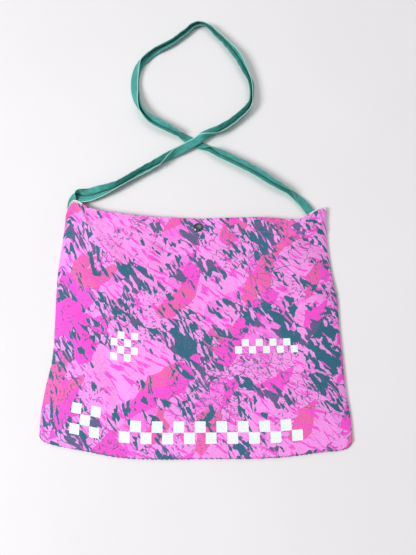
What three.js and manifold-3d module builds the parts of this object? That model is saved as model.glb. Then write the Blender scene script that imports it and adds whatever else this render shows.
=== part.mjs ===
// A cycling musette, a flat cloth shoulder bag, lying on its back with its front face up. Two panels
// are sewn together at the sides and the bottom, a snap closes the mouth, and the strap is a tape
// folded in half lengthwise, laid out above the mouth in one loop that crosses itself.
// Millimetres, +Z up, +Y from the bottom seam to the mouth. The origin is under the middle of the
// whole outline, strap included.
import * as THREE from "three";
import { mergeVertices } from "three/addons/utils/BufferGeometryUtils.js";
import Module from "manifold-3d";

const wasm = await Module();
wasm.setup();

// The bag
const BAG_WIDTH = 380; // across the bottom seam
const MOUTH_WIDTH = 358; // across the mouth, from side seam to side seam
const BAG_HEIGHT = 307; // bottom seam to hem, at the middle
const CLOTH = 1.2; // one layer of the printed cloth
const HEM_CLOTH = 2; // the hem, where the cloth is turned in
const HEM_DEPTH = 24;
const EAR_RISE = 27; // how far the pulled-up corners stand above the hem
const SEAM_SAG = 20; // how far the bottom seam dips below its two ends
const BACK_DROP = 2; // the back hem lies this far below the front one
const POCKET_DEPTH = 9; // clear height between the panels
const MOUTH_GAPE = 6.5; // the same at the mouth, away from the snap
const CLEAR = 0.3; // gap between pieces that touch

// The strap
const TAPE_WIDTH = 12; // folded
const TAPE_CLOTH = 0.9; // one leaf of the fold
const TAPE_INSIDE = 0.8; // between the leaves where the tape is closed
const STRAP_REACH = 330; // hem to the far end of the loop
const CROSS_OPEN = 12; // degrees that the lower run gapes where the upper one crosses it

// The snap
const SNAP_ACROSS = 1; // right of the middle
const SNAP_BELOW_HEM = 13.5;
const CAP_DIAMETER = 12.5;
const CAP_HEIGHT = 2.2;
const SOCKET_DIAMETER = 10.4;
const SOCKET_HEIGHT = 2.4;
const STUD_DIAMETER = 10;
const STUD_BALL_DIAMETER = 4.8;
const STUD_BALL_HEIGHT = 2; // above its base plate
const BACK_CAP_DIAMETER = 11;
const PLATE = 0.8; // the pressed metal's thickness
const RIVET_DIAMETER = 3.4; // the shanks through the cloth

// Grid and curve steps
const FRONT_CELLS = { across: 34, up: 28 };
const BACK_CELLS = { across: 22, up: 16 };
const TAPE_STEPS = 168;
const ROUND_STEPS = 20;

// Sizes that follow from those above
const TAPE_THICK = 2 * TAPE_CLOTH + TAPE_INSIDE;
const STRAP_ROOM = TAPE_THICK + 2 * CLEAR; // between the ears, where the strap's ends are sewn in
const BACK_LIFT = PLATE + CLEAR; // the back panel over the snap's rear cap
const STUD_BASE = BACK_LIFT + HEM_CLOTH + CLEAR;
const SOCKET_BASE = STUD_BASE + PLATE + CLEAR;
const SNAP_GAP = SOCKET_BASE + SOCKET_HEIGHT + CLEAR - BACK_LIFT - HEM_CLOTH;
const CAP_BASE = BACK_LIFT + HEM_CLOTH + SNAP_GAP + HEM_CLOTH + CLEAR;
const CROSS_LIFT = TAPE_THICK + TAPE_WIDTH * Math.sin(THREE.MathUtils.degToRad(CROSS_OPEN)) + CLEAR;

// The side seams: how far each one stands out from a straight line, in shares of half the width.
const SIDE_SEAMS = [
  { up: 0, left: 0, right: -0.002 },
  { up: 0.09, left: 0.008, right: 0.002 },
  { up: 0.2, left: -0.002, right: -0.008 },
  { up: 0.32, left: -0.022, right: -0.007 },
  { up: 0.47, left: -0.01, right: -0.005 },
  { up: 0.6, left: 0.006, right: 0.003 },
  { up: 0.71, left: 0.015, right: -0.017 },
  { up: 0.82, left: 0.01, right: -0.024 },
  { up: 0.94, left: 0.006, right: -0.018 },
  { up: 1, left: 0, right: -0.004 },
];

// The hem, in shares of the ears' rise, from the left seam (-1) to the right one (1).
const HEM_LINE = [
  { across: -1, rise: 0.33 },
  { across: -0.97, rise: 0.85 },
  { across: -0.95, rise: 1.0 },
  { across: -0.91, rise: 0.93 },
  { across: -0.86, rise: 0.72 },
  { across: -0.77, rise: 0.47 },
  { across: -0.6, rise: 0.27 },
  { across: -0.3, rise: 0.08 },
  { across: 0, rise: -0.01 },
  { across: 0.3, rise: 0.03 },
  { across: 0.52, rise: 0.04 },
  { across: 0.7, rise: -0.05 },
  { across: 0.79, rise: -0.02 },
  { across: 0.85, rise: 0.22 },
  { across: 0.9, rise: 0.42 },
  { across: 0.96, rise: 0.63 },
  { across: 0.985, rise: 0.6 },
  { across: 1, rise: 0.33 },
];

// The bottom seam, in shares of its sag.
const BOTTOM_LINE = [
  { across: -1, rise: 1.3 },
  { across: -0.965, rise: 0.98 },
  { across: -0.9, rise: 0.78 },
  { across: -0.69, rise: 0.42 },
  { across: -0.5, rise: 0.1 },
  { across: -0.3, rise: -0.02 },
  { across: 0.1, rise: 0 },
  { across: 0.5, rise: 0.06 },
  { across: 0.82, rise: 0.4 },
  { across: 0.955, rise: 0.56 },
  { across: 1, rise: 1.0 },
];

// Ridges and creases of the front panel. Ends are (across, up), the breadth is a share of the bag's
// width and the height a share of the pocket's depth.
const FOLDS = [
  { across: -0.9, up: 0.94, toAcross: -0.58, toUp: 0.78, breadth: 0.034, height: 0.3 },
  { across: -0.55, up: 0.76, toAcross: -0.16, toUp: 0.56, breadth: 0.05, height: 0.2 },
  { across: -0.97, up: 0.68, toAcross: -0.7, toUp: 0.47, breadth: 0.034, height: -0.28 },
  { across: -0.92, up: 0.77, toAcross: -0.54, toUp: 0.52, breadth: 0.042, height: 0.24 },
  { across: -0.7, up: 0.47, toAcross: -0.5, toUp: 0.22, breadth: 0.032, height: -0.26 },
  { across: 0.5, up: 0.66, toAcross: 0.84, toUp: 0.64, breadth: 0.034, height: 0.3 },
  { across: 0.6, up: 0.6, toAcross: 0.96, toUp: 0.53, breadth: 0.03, height: -0.34 },
  { across: 0.88, up: 0.9, toAcross: 0.4, toUp: 0.74, breadth: 0.045, height: 0.22 },
  { across: 0.78, up: 0.97, toAcross: 0.98, toUp: 0.86, breadth: 0.02, height: 0.3 },
  { across: 0.84, up: 0.88, toAcross: 0.99, toUp: 0.8, breadth: 0.018, height: -0.3 },
  { across: -0.3, up: 0.42, toAcross: 0.25, toUp: 0.34, breadth: 0.07, height: 0.16 },
  { across: 0.2, up: 0.2, toAcross: 0.72, toUp: 0.3, breadth: 0.05, height: 0.18 },
  { across: -0.62, up: 0.08, toAcross: -0.3, toUp: 0.2, breadth: 0.05, height: 0.16 },
];

// The strap's route from the left ear to the right one, along the middle of what shows from above.
// Across is in shares of half the mouth's width and up in shares of the reach above the hem. Twist
// turns the tape about its own line and open is the angle between its leaves, both in degrees: at
// twist 0 it lies flat with its fold on the left, near -90 it stands on its fold and near -180 it
// lies flat with its fold on the right. onPanel and onTape say how far the tape is raised onto the
// back panel, and onto the run that it crosses.
const STRAP_ROUTE = [
  { across: -0.945, up: 0.012, twist: 0, open: 0, onPanel: 1, onTape: 0 },
  { across: -0.966, up: 0.045, twist: 0, open: 0, onPanel: 1, onTape: 0 },
  { across: -0.966, up: 0.078, twist: 0, open: 0, onPanel: 1, onTape: 0 },
  { across: -0.946, up: 0.098, twist: 0, open: 2, onPanel: 1, onTape: 0 },
  { across: -0.92, up: 0.105, twist: -8, open: 62, onPanel: 1, onTape: 0 },
  { across: -0.88, up: 0.104, twist: -18, open: 118, onPanel: 0.8, onTape: 0 },
  { across: -0.83, up: 0.109, twist: -24, open: 130, onPanel: 0.4, onTape: 0 },
  { across: -0.766, up: 0.125, twist: -32, open: 104, onPanel: 0, onTape: 0 },
  { across: -0.715, up: 0.136, twist: -46, open: 75, onPanel: 0, onTape: 0 },
  { across: -0.66, up: 0.15, twist: -56, open: 58, onPanel: 0, onTape: 0 },
  { across: -0.615, up: 0.163, twist: -62, open: 44, onPanel: 0, onTape: 0 },
  { across: -0.541, up: 0.188, twist: -56, open: 42, onPanel: 0, onTape: 0 },
  { across: -0.464, up: 0.214, twist: -48, open: 48, onPanel: 0, onTape: 0 },
  { across: -0.386, up: 0.24, twist: -50, open: 50, onPanel: 0, onTape: 0 },
  { across: -0.309, up: 0.266, twist: -64, open: 50, onPanel: 0, onTape: 0.1 },
  { across: -0.23, up: 0.29, twist: -104, open: 30, onPanel: 0, onTape: 0.3 },
  { across: -0.153, up: 0.314, twist: -150, open: 12, onPanel: 0, onTape: 0.7 },
  { across: -0.08, up: 0.338, twist: -174, open: 6, onPanel: 0, onTape: 1.02 },
  { across: -0.014, up: 0.36, twist: -172, open: 8, onPanel: 0, onTape: 1.05 },
  { across: 0.05, up: 0.382, twist: -114, open: 32, onPanel: 0, onTape: 0.95 },
  { across: 0.111, up: 0.404, twist: -74, open: 50, onPanel: 0, onTape: 0.4 },
  { across: 0.183, up: 0.427, twist: -58, open: 52, onPanel: 0, onTape: 0.08 },
  { across: 0.271, up: 0.46, twist: -56, open: 46, onPanel: 0, onTape: 0 },
  { across: 0.325, up: 0.487, twist: -60, open: 44, onPanel: 0, onTape: 0 },
  { across: 0.384, up: 0.519, twist: -65, open: 38, onPanel: 0, onTape: 0 },
  { across: 0.426, up: 0.552, twist: -82, open: 22, onPanel: 0, onTape: 0 },
  { across: 0.442, up: 0.588, twist: -98, open: 14, onPanel: 0, onTape: 0 },
  { across: 0.446, up: 0.625, twist: -107, open: 15, onPanel: 0, onTape: 0 },
  { across: 0.439, up: 0.667, twist: -114, open: 20, onPanel: 0, onTape: 0 },
  { across: 0.404, up: 0.718, twist: -103, open: 38, onPanel: 0, onTape: 0 },
  { across: 0.374, up: 0.759, twist: -94, open: 46, onPanel: 0, onTape: 0 },
  { across: 0.343, up: 0.798, twist: -91, open: 52, onPanel: 0, onTape: 0 },
  { across: 0.297, up: 0.839, twist: -99, open: 50, onPanel: 0, onTape: 0 },
  { across: 0.25, up: 0.873, twist: -108, open: 40, onPanel: 0, onTape: 0 },
  { across: 0.199, up: 0.908, twist: -112, open: 38, onPanel: 0, onTape: 0 },
  { across: 0.139, up: 0.944, twist: -116, open: 30, onPanel: 0, onTape: 0 },
  { across: 0.1, up: 0.97, twist: -121, open: 24, onPanel: 0, onTape: 0 },
  { across: 0.053, up: 0.988, twist: -126, open: 22, onPanel: 0, onTape: 0 },
  { across: -0.005, up: 0.992, twist: -124, open: 26, onPanel: 0, onTape: 0 },
  { across: -0.057, up: 0.976, twist: -116, open: 30, onPanel: 0, onTape: 0 },
  { across: -0.1, up: 0.949, twist: -113, open: 36, onPanel: 0, onTape: 0 },
  { across: -0.156, up: 0.922, twist: -114, open: 38, onPanel: 0, onTape: 0 },
  { across: -0.211, up: 0.894, twist: -113, open: 36, onPanel: 0, onTape: 0 },
  { across: -0.27, up: 0.872, twist: -113, open: 38, onPanel: 0, onTape: 0 },
  { across: -0.337, up: 0.849, twist: -118, open: 44, onPanel: 0, onTape: 0 },
  { across: -0.372, up: 0.836, twist: -119, open: 50, onPanel: 0, onTape: 0 },
  { across: -0.405, up: 0.818, twist: -118, open: 54, onPanel: 0, onTape: 0 },
  { across: -0.459, up: 0.787, twist: -116, open: 56, onPanel: 0, onTape: 0 },
  { across: -0.498, up: 0.755, twist: -134, open: 34, onPanel: 0, onTape: 0 },
  { across: -0.521, up: 0.72, twist: -154, open: 13, onPanel: 0, onTape: 0 },
  { across: -0.53, up: 0.68, twist: -162, open: 8, onPanel: 0, onTape: 0 },
  { across: -0.526, up: 0.635, twist: -158, open: 8, onPanel: 0, onTape: 0 },
  { across: -0.512, up: 0.591, twist: -136, open: 9, onPanel: 0, onTape: 0 },
  { across: -0.486, up: 0.549, twist: -104, open: 12, onPanel: 0, onTape: 0 },
  { across: -0.449, up: 0.515, twist: -74, open: 28, onPanel: 0, onTape: 0 },
  { across: -0.386, up: 0.476, twist: -53, open: 52, onPanel: 0, onTape: 0 },
  { across: -0.293, up: 0.445, twist: -42, open: 62, onPanel: 0, onTape: 0 },
  { across: -0.182, up: 0.41, twist: -34, open: 46, onPanel: 0, onTape: 0 },
  { across: -0.125, up: 0.392, twist: -15, open: 25, onPanel: 0, onTape: 0 },
  { across: -0.085, up: 0.379, twist: 0, open: CROSS_OPEN, onPanel: 0, onTape: 0 },
  { across: -0.04, up: 0.365, twist: 0, open: CROSS_OPEN, onPanel: 0, onTape: 0 },
  { across: 0.022, up: 0.347, twist: 0, open: CROSS_OPEN, onPanel: 0, onTape: 0 },
  { across: 0.1, up: 0.325, twist: -22, open: 42, onPanel: 0, onTape: 0 },
  { across: 0.16, up: 0.308, twist: -34, open: 58, onPanel: 0, onTape: 0 },
  { across: 0.234, up: 0.287, twist: -35, open: 60, onPanel: 0, onTape: 0 },
  { across: 0.384, up: 0.243, twist: -36, open: 60, onPanel: 0, onTape: 0 },
  { across: 0.494, up: 0.206, twist: -37, open: 58, onPanel: 0, onTape: 0 },
  { across: 0.571, up: 0.175, twist: -37, open: 54, onPanel: 0, onTape: 0 },
  { across: 0.647, up: 0.148, twist: -35, open: 46, onPanel: 0, onTape: 0 },
  { across: 0.723, up: 0.12, twist: -25, open: 32, onPanel: 0.1, onTape: 0 },
  { across: 0.785, up: 0.09, twist: -10, open: 10, onPanel: 0.6, onTape: 0 },
  { across: 0.83, up: 0.062, twist: 0, open: 2, onPanel: 1, onTape: 0 },
  { across: 0.87, up: 0.028, twist: 0, open: 0, onPanel: 1, onTape: 0 },
  { across: 0.896, up: -0.014, twist: 0, open: 0, onPanel: 1, onTape: 0 },
];

// Smooth curve through a table's rows: the named column's value where the key column equals at.
function along(table, key, at, column) {
  const last = table.length - 1;
  let row = 0;
  while (row < last - 1 && table[row + 1][key] < at) row += 1;
  const [before, from, to, after] = [row - 1, row, row + 1, row + 2].map(
    (n) => table[THREE.MathUtils.clamp(n, 0, last)],
  );
  const span = to[key] - from[key];
  const slope = (a, b) => ((b[column] - a[column]) / (b[key] - a[key] || 1)) * span;
  const t = THREE.MathUtils.clamp((at - from[key]) / span, 0, 1);
  const [t2, t3] = [t * t, t * t * t];
  return (
    (2 * t3 - 3 * t2 + 1) * from[column] +
    (t3 - 2 * t2 + t) * slope(before, to) +
    (3 * t2 - 2 * t3) * to[column] +
    (t3 - t2) * slope(from, after)
  );
}

// 1 up to full, then down to 0 at none.
const near = (distance, full, none) => 1 - THREE.MathUtils.smoothstep(distance, full, none);

// Distance from a point to a segment, all as [x, y].
function offSegment([x, y], [x0, y0], [x1, y1]) {
  const [dx, dy] = [x1 - x0, y1 - y0];
  const share = THREE.MathUtils.clamp(((x - x0) * dx + (y - y0) * dy) / (dx * dx + dy * dy), 0, 1);
  return Math.hypot(x - x0 - share * dx, y - y0 - share * dy);
}

// Moves every vertex of a closed geometry to place(x, y, z).
function move(geometry, place) {
  const position = geometry.getAttribute("position");
  for (let i = 0; i < position.count; i += 1) {
    position.setXYZ(i, ...place(position.getX(i), position.getY(i), position.getZ(i)));
  }
  return geometry;
}

// Joins the vertices that share a place, and leaves position as the only attribute.
function weld(geometry) {
  geometry.deleteAttribute("normal");
  geometry.deleteAttribute("uv");
  return mergeVertices(geometry, 1e-3);
}

// Splits each four-sided facet of an extrusion's walls along its shorter diagonal, so that the two
// faces of a thin twisted leaf stay apart.
function splitShorter(extrusion) {
  const position = extrusion.getAttribute("position");
  const { start, count } = extrusion.groups[1];
  const at = (i) => new THREE.Vector3().fromBufferAttribute(position, i);
  for (let i = start; i < start + count; i += 6) {
    const [a, b, d, c] = [at(i), at(i + 1), at(i + 2), at(i + 4)];
    if (a.distanceTo(c) < b.distanceTo(d)) {
      [a, b, c, a, c, d].forEach((corner, n) => position.setXYZ(i + n, ...corner));
    }
  }
  return extrusion;
}

// Where a point of either panel lies, seen from above. across runs from -1 to 1 and up from 0 to 1.
function panelPoint(across, up, hemDrop = 0) {
  const straight = THREE.MathUtils.lerp(BAG_WIDTH, MOUTH_WIDTH, up) / 2;
  const standOut = along(SIDE_SEAMS, "up", up, across < 0 ? "left" : "right") * (BAG_WIDTH / 2);
  const hem = BAG_HEIGHT - hemDrop + along(HEM_LINE, "across", across, "rise") * EAR_RISE;
  const bottom = along(BOTTOM_LINE, "across", across, "rise") * SEAM_SAG;
  return [across * (straight + standOut), THREE.MathUtils.lerp(bottom, hem, up)];
}

// A strap route row seen from above.
const routePoint = ({ across, up }) => [(across * MOUTH_WIDTH) / 2, BAG_HEIGHT + up * STRAP_REACH];

const SNAP_AT = [SNAP_ACROSS, panelPoint(0, 1)[1] - SNAP_BELOW_HEM];
const STRAP_ENDS = [STRAP_ROUTE.slice(0, 4), STRAP_ROUTE.slice(-4)].map((rows) => rows.map(routePoint));

const fromSnap = ([x, y]) => Math.hypot(x - SNAP_AT[0], y - SNAP_AT[1]);

// Distance to the stretch of strap that lies between the ears.
function fromStrapEnd(point) {
  const gaps = STRAP_ENDS.flatMap((end) => end.slice(1).map((to, i) => offSegment(point, end[i], to)));
  return Math.min(...gaps);
}

// Cloth thickness: the hem's is turned in.
const clothAt = (y, hemY) => THREE.MathUtils.lerp(CLOTH, HEM_CLOTH, near(hemY - y, HEM_DEPTH, HEM_DEPTH * 1.4));

// The back panel's underside: flat on the surface, but raised over the snap's rear cap.
const RAISED = { full: BACK_CAP_DIAMETER * 3, none: BACK_CAP_DIAMETER * 6 };
const backUnder = (point) => BACK_LIFT * near(fromSnap(point), RAISED.full, RAISED.none);

// The folds' height at a point of the front panel.
function foldHeight(point) {
  return FOLDS.reduce((sum, fold) => {
    const ends = [panelPoint(fold.across, fold.up), panelPoint(fold.toAcross, fold.toUp)];
    const off = offSegment(point, ...ends) / (fold.breadth * BAG_WIDTH);
    return sum + fold.height * POCKET_DEPTH * Math.exp(-off * off);
  }, 0);
}

// Clear height between the panels: closed at the seams, full in the middle and held down by the snap.
const SIDE_FULLNESS = 7;
const BOTTOM_FULLNESS = 9;
const PINCH = { full: CAP_DIAMETER * 1.4, none: MOUTH_WIDTH * 0.27 };
function gapeAt(across, up) {
  const point = panelPoint(across, up);
  const swell = (1 - Math.abs(across) ** SIDE_FULLNESS) * (1 - (1 - up) ** BOTTOM_FULLNESS);
  const depth = THREE.MathUtils.lerp(MOUTH_GAPE, POCKET_DEPTH, near(up, 0.72, 1));
  const free = CLEAR + swell * (depth + foldHeight(point) * near(up, 0.9, 1.05));
  const pinched = THREE.MathUtils.lerp(free, SNAP_GAP, near(fromSnap(point), PINCH.full, PINCH.none));
  return Math.max(pinched, CLEAR);
}

// The lowest that the front panel may lie over the strap's sewn ends. Beside them it comes down again
// to the back panel.
const EAR_FLAT = { full: TAPE_WIDTH * 0.75, none: TAPE_WIDTH * 1.45 };
function overStrap(point) {
  return (HEM_CLOTH + STRAP_ROOM + CLEAR) * near(fromStrapEnd(point), EAR_FLAT.full, EAR_FLAT.none);
}

// The body of manifold-3d for a closed geometry, and back again.
function solid(geometry) {
  return new wasm.Manifold(
    new wasm.Mesh({
      numProp: 3,
      vertProperties: new Float32Array(geometry.getAttribute("position").array),
      triVerts: new Uint32Array(geometry.index.array),
    }),
  );
}

function geometryOf(body) {
  const mesh = body.getMesh();
  const geometry = new THREE.BufferGeometry();
  geometry.setAttribute("position", new THREE.BufferAttribute(mesh.vertProperties, 3));
  return geometry.setIndex(new THREE.BufferAttribute(mesh.triVerts, 1));
}

// A rivet hole through a panel at the snap.
function pierce(panel) {
  const height = 4 * (POCKET_DEPTH + CAP_HEIGHT);
  const drill = new THREE.CylinderGeometry(
    RIVET_DIAMETER / 2 + CLEAR, RIVET_DIAMETER / 2 + CLEAR, height, ROUND_STEPS,
  );
  drill.rotateX(Math.PI / 2).translate(...SNAP_AT, 0);
  return geometryOf(solid(panel).subtract(solid(weld(drill))));
}

// A slab of cells from -1 to 1 across, 0 to 1 up and 0 to 1 through the cloth, closer near the seams.
function slab({ across, up }, place) {
  const closer = (share) => share * (1.4 - 0.4 * share * share);
  const cells = new THREE.BoxGeometry(2, 2, 1, across, up, 1);
  return weld(move(cells, (x, y, z) => place(closer(x), (closer(y) + 1) / 2, z + 0.5)));
}

function backPanel() {
  return slab(BACK_CELLS, (across, up, layer) => {
    const point = panelPoint(across, up, BACK_DROP);
    const cloth = clothAt(point[1], panelPoint(across, 1, BACK_DROP)[1]);
    return [...point, backUnder(point) + layer * cloth];
  });
}

function frontPanel() {
  return slab(FRONT_CELLS, (across, up, layer) => {
    const point = panelPoint(across, up);
    const hemY = panelPoint(across, 1)[1];
    const backTop = backUnder(point) + clothAt(point[1], hemY - BACK_DROP);
    const under = Math.max(backTop + gapeAt(across, up), overStrap(point));
    return [...point, under + layer * clothAt(point[1], hemY)];
  });
}

// The tape's section, closed: its lower leaf, its rounded fold at +w and its upper leaf.
function tapeSection() {
  const [w, half, inside] = [TAPE_WIDTH / 2, TAPE_THICK / 2, TAPE_INSIDE / 2];
  const fold = w - half;
  return new THREE.Shape([
    new THREE.Vector2(-w, -half),
    new THREE.Vector2(fold, -half),
    new THREE.Vector2(fold + half * 0.87, -half / 2),
    new THREE.Vector2(fold + half * 0.87, half / 2),
    new THREE.Vector2(fold, half),
    new THREE.Vector2(-w, half),
    new THREE.Vector2(-w, inside),
    new THREE.Vector2(fold, inside),
    new THREE.Vector2(fold, -inside),
    new THREE.Vector2(-w, -inside),
  ]);
}

// A point of the section with its leaves opened about the fold: the upper leaf turns all the way and
// the fold's own round a third and two thirds of it.
function opened(a, b, open) {
  const fold = (TAPE_WIDTH - TAPE_THICK) / 2;
  const onRound = a > fold + CLEAR / 2;
  const share = onRound ? 0.5 + Math.sign(b) / 6 : Number(b > 0);
  const angle = -THREE.MathUtils.degToRad(open) * share;
  const [da, cos, sin] = [a - fold, Math.cos(angle), Math.sin(angle)];
  return [fold + da * cos - b * sin, da * sin + b * cos];
}

// The tape's sections at even steps along the route: where each one is, which way is left, its twist
// and opening, and how high its lowest point lies.
function strapStations() {
  const rows = STRAP_ROUTE.map((row, n) => ({ ...row, n }));
  const at = (n) => {
    const [x, y] = routePoint({ across: along(rows, "n", n, "across"), up: along(rows, "n", n, "up") });
    return new THREE.Vector2(x, y);
  };
  const fine = Array.from({ length: 20 * (rows.length - 1) + 1 }, (_, i) => i / 20);
  const runs = [0];
  fine.slice(1).forEach((n, i) => runs.push(runs[i] + at(n).distanceTo(at(fine[i]))));
  const table = fine.map((n, i) => ({ n, run: runs[i] }));
  const total = runs[runs.length - 1];
  return Array.from({ length: TAPE_STEPS + 1 }, (_, i) => {
    const n = along(table, "run", (total * i) / TAPE_STEPS, "n");
    const nudge = 0.05;
    const ahead = at(Math.min(n + nudge, rows.length - 1)).sub(at(Math.max(n - nudge, 0))).normalize();
    const onPanel = THREE.MathUtils.clamp(along(rows, "n", n, "onPanel"), 0, 1);
    return {
      middle: at(n),
      left: new THREE.Vector2(-ahead.y, ahead.x),
      twist: THREE.MathUtils.degToRad(along(rows, "n", n, "twist")),
      open: Math.max(along(rows, "n", n, "open"), 0),
      lowest: onPanel * (HEM_CLOTH + CLEAR) + Math.max(along(rows, "n", n, "onTape"), 0) * CROSS_LIFT,
    };
  });
}

// A point (a, b) of the section in a station's own upright frame.
function turned({ twist, open }, a, b) {
  const [oa, ob] = opened(a, b, open);
  return [oa * Math.cos(twist) - ob * Math.sin(twist), oa * Math.sin(twist) + ob * Math.cos(twist)];
}

function strap() {
  const section = tapeSection();
  const stations = strapStations();
  const corners = section.getPoints();
  stations.forEach((station) => {
    const seen = corners.map((corner) => turned(station, corner.x, corner.y));
    const asides = seen.map(([aside]) => aside);
    station.aside = -(Math.min(...asides) + Math.max(...asides)) / 2;
    station.height = station.lowest - Math.min(...seen.map(([, above]) => above));
  });
  const tape = new THREE.ExtrudeGeometry(section, { steps: TAPE_STEPS, depth: TAPE_STEPS, bevelEnabled: false });
  move(tape, (a, b, step) => {
    const station = stations[Math.round(step)];
    const [aside, above] = turned(station, a, b);
    const { middle, left } = station;
    const off = aside + station.aside;
    return [middle.x + left.x * off, middle.y + left.y * off, above + station.height];
  });
  return weld(splitShorter(tape));
}

// A turned metal piece at the snap from its half outline, as [radius, height] pairs from the axis and
// back to it, or closed on itself where the piece is a ring.
function turnedPiece(outline) {
  const profile = outline.map(([radius, height]) => new THREE.Vector2(radius, height));
  const piece = new THREE.LatheGeometry(profile, ROUND_STEPS);
  piece.rotateX(Math.PI / 2).translate(...SNAP_AT, 0);
  return weld(piece);
}

// The front cap: a low dome with a rolled rim, and its shank down into the socket.
function snapCap() {
  const [rim, rivet] = [CAP_DIAMETER / 2, RIVET_DIAMETER / 2];
  const shankEnd = STUD_BASE + PLATE + STUD_BALL_HEIGHT + CLEAR;
  const top = CAP_BASE + CAP_HEIGHT;
  return turnedPiece([
    [0, shankEnd],
    [rivet, shankEnd],
    [rivet, CAP_BASE],
    [rim - PLATE / 2, CAP_BASE],
    [rim, CAP_BASE + PLATE / 2],
    [rim * 0.96, CAP_BASE + CAP_HEIGHT * 0.5],
    [rim * 0.74, CAP_BASE + CAP_HEIGHT * 0.83],
    [rim * 0.4, CAP_BASE + CAP_HEIGHT * 0.97],
    [0, top],
  ]);
}

// The socket behind the front hem: a ring that the stud's ball snaps into.
function snapSocket() {
  const [outer, ball, rivet] = [SOCKET_DIAMETER / 2, STUD_BALL_DIAMETER / 2, RIVET_DIAMETER / 2];
  const [base, top] = [SOCKET_BASE, SOCKET_BASE + SOCKET_HEIGHT];
  const web = STUD_BASE + PLATE + STUD_BALL_HEIGHT + CLEAR;
  return turnedPiece([
    [ball + CLEAR, base],
    [outer - PLATE / 2, base],
    [outer, base + PLATE / 2],
    [outer - PLATE / 2, top],
    [rivet + CLEAR, top],
    [rivet + CLEAR, web],
    [ball + CLEAR, web],
    [ball + CLEAR, base],
  ]);
}

// The stud on the back hem: a plate with a ball, hollow for the rear cap's shank.
function snapStud() {
  const [outer, ball, rivet] = [STUD_DIAMETER / 2, STUD_BALL_DIAMETER / 2, RIVET_DIAMETER / 2];
  const plateTop = STUD_BASE + PLATE;
  const ballTop = plateTop + STUD_BALL_HEIGHT;
  return turnedPiece([
    [rivet + CLEAR, STUD_BASE],
    [outer, STUD_BASE],
    [outer, plateTop],
    [ball * 0.9, plateTop],
    [ball, plateTop + STUD_BALL_HEIGHT * 0.6],
    [ball * 0.8, ballTop],
    [0, ballTop],
    [0, ballTop - PLATE / 2],
    [rivet + CLEAR, ballTop - PLATE / 2],
    [rivet + CLEAR, STUD_BASE],
  ]);
}

// The rear cap under the back hem, with its shank up into the stud.
function snapRearCap() {
  const [outer, rivet] = [BACK_CAP_DIAMETER / 2, RIVET_DIAMETER / 2];
  const shankEnd = STUD_BASE + PLATE + STUD_BALL_HEIGHT - PLATE / 2 - CLEAR;
  return turnedPiece([
    [0, 0],
    [outer - PLATE / 4, 0],
    [outer, PLATE / 2],
    [outer - PLATE / 4, PLATE],
    [rivet, PLATE],
    [rivet, shankEnd],
    [0, shankEnd],
  ]);
}

function material(color, roughness, metalness) {
  return new THREE.MeshStandardMaterial({ color, roughness, metalness });
}

const PRINTED_CLOTH = material(0xf06cc4, 0.85, 0);
const TAPE = material(0x41968f, 0.8, 0);
const DARK_METAL = material(0x3c4145, 0.3, 1);

function named(name, geometry, finish) {
  const mesh = new THREE.Mesh(geometry, finish);
  mesh.name = name;
  return mesh;
}

const musette = new THREE.Group();
musette.add(
  named("back_panel", pierce(backPanel()), PRINTED_CLOTH),
  named("front_panel", pierce(frontPanel()), PRINTED_CLOTH),
  named("strap", strap(), TAPE),
  named("snap_cap", snapCap(), DARK_METAL),
  named("snap_socket", snapSocket(), DARK_METAL),
  named("snap_stud", snapStud(), DARK_METAL),
  named("snap_rear_cap", snapRearCap(), DARK_METAL),
);

// The origin goes under the middle of the whole outline.
const outline = new THREE.Box3().setFromObject(musette);
const middle = outline.getCenter(new THREE.Vector3());
musette.position.set(-middle.x, -middle.y, -outline.min.z);

export default musette;
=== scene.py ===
"""A cycling musette in printed cloth, laid flat on its back, with its folded tape strap above it."""

import bisect
import logging
import math
from collections.abc import Callable, Sequence
from dataclasses import dataclass, field
from enum import Enum

import bmesh
import bpy
from mathutils import Matrix, Vector, noise


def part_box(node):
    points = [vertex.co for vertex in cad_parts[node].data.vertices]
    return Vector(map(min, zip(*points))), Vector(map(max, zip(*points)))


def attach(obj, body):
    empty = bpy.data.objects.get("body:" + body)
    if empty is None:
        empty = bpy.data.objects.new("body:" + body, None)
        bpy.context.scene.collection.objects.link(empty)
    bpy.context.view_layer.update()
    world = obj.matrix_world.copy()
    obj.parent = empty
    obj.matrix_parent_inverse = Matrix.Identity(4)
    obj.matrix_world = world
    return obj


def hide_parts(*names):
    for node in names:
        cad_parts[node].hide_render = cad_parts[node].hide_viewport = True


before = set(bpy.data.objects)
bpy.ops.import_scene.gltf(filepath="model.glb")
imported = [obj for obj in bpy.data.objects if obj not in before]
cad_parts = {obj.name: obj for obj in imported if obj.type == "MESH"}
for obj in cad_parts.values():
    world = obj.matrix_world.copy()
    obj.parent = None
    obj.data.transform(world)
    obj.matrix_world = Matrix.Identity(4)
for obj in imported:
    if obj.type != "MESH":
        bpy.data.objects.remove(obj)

log = logging.getLogger("musette")

Colour = tuple[float, float, float, float]
Segment = tuple[float, float, float, float]
Fold = tuple[Segment, float, float]
Pair = tuple[float, float]
Triple = tuple[float, float, float]
Placed = tuple[Vector, Pair]
Mesh = bmesh.types.BMesh
Socket = bpy.types.NodeSocket
Material = bpy.types.Material
Piece = bpy.types.Object

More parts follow.
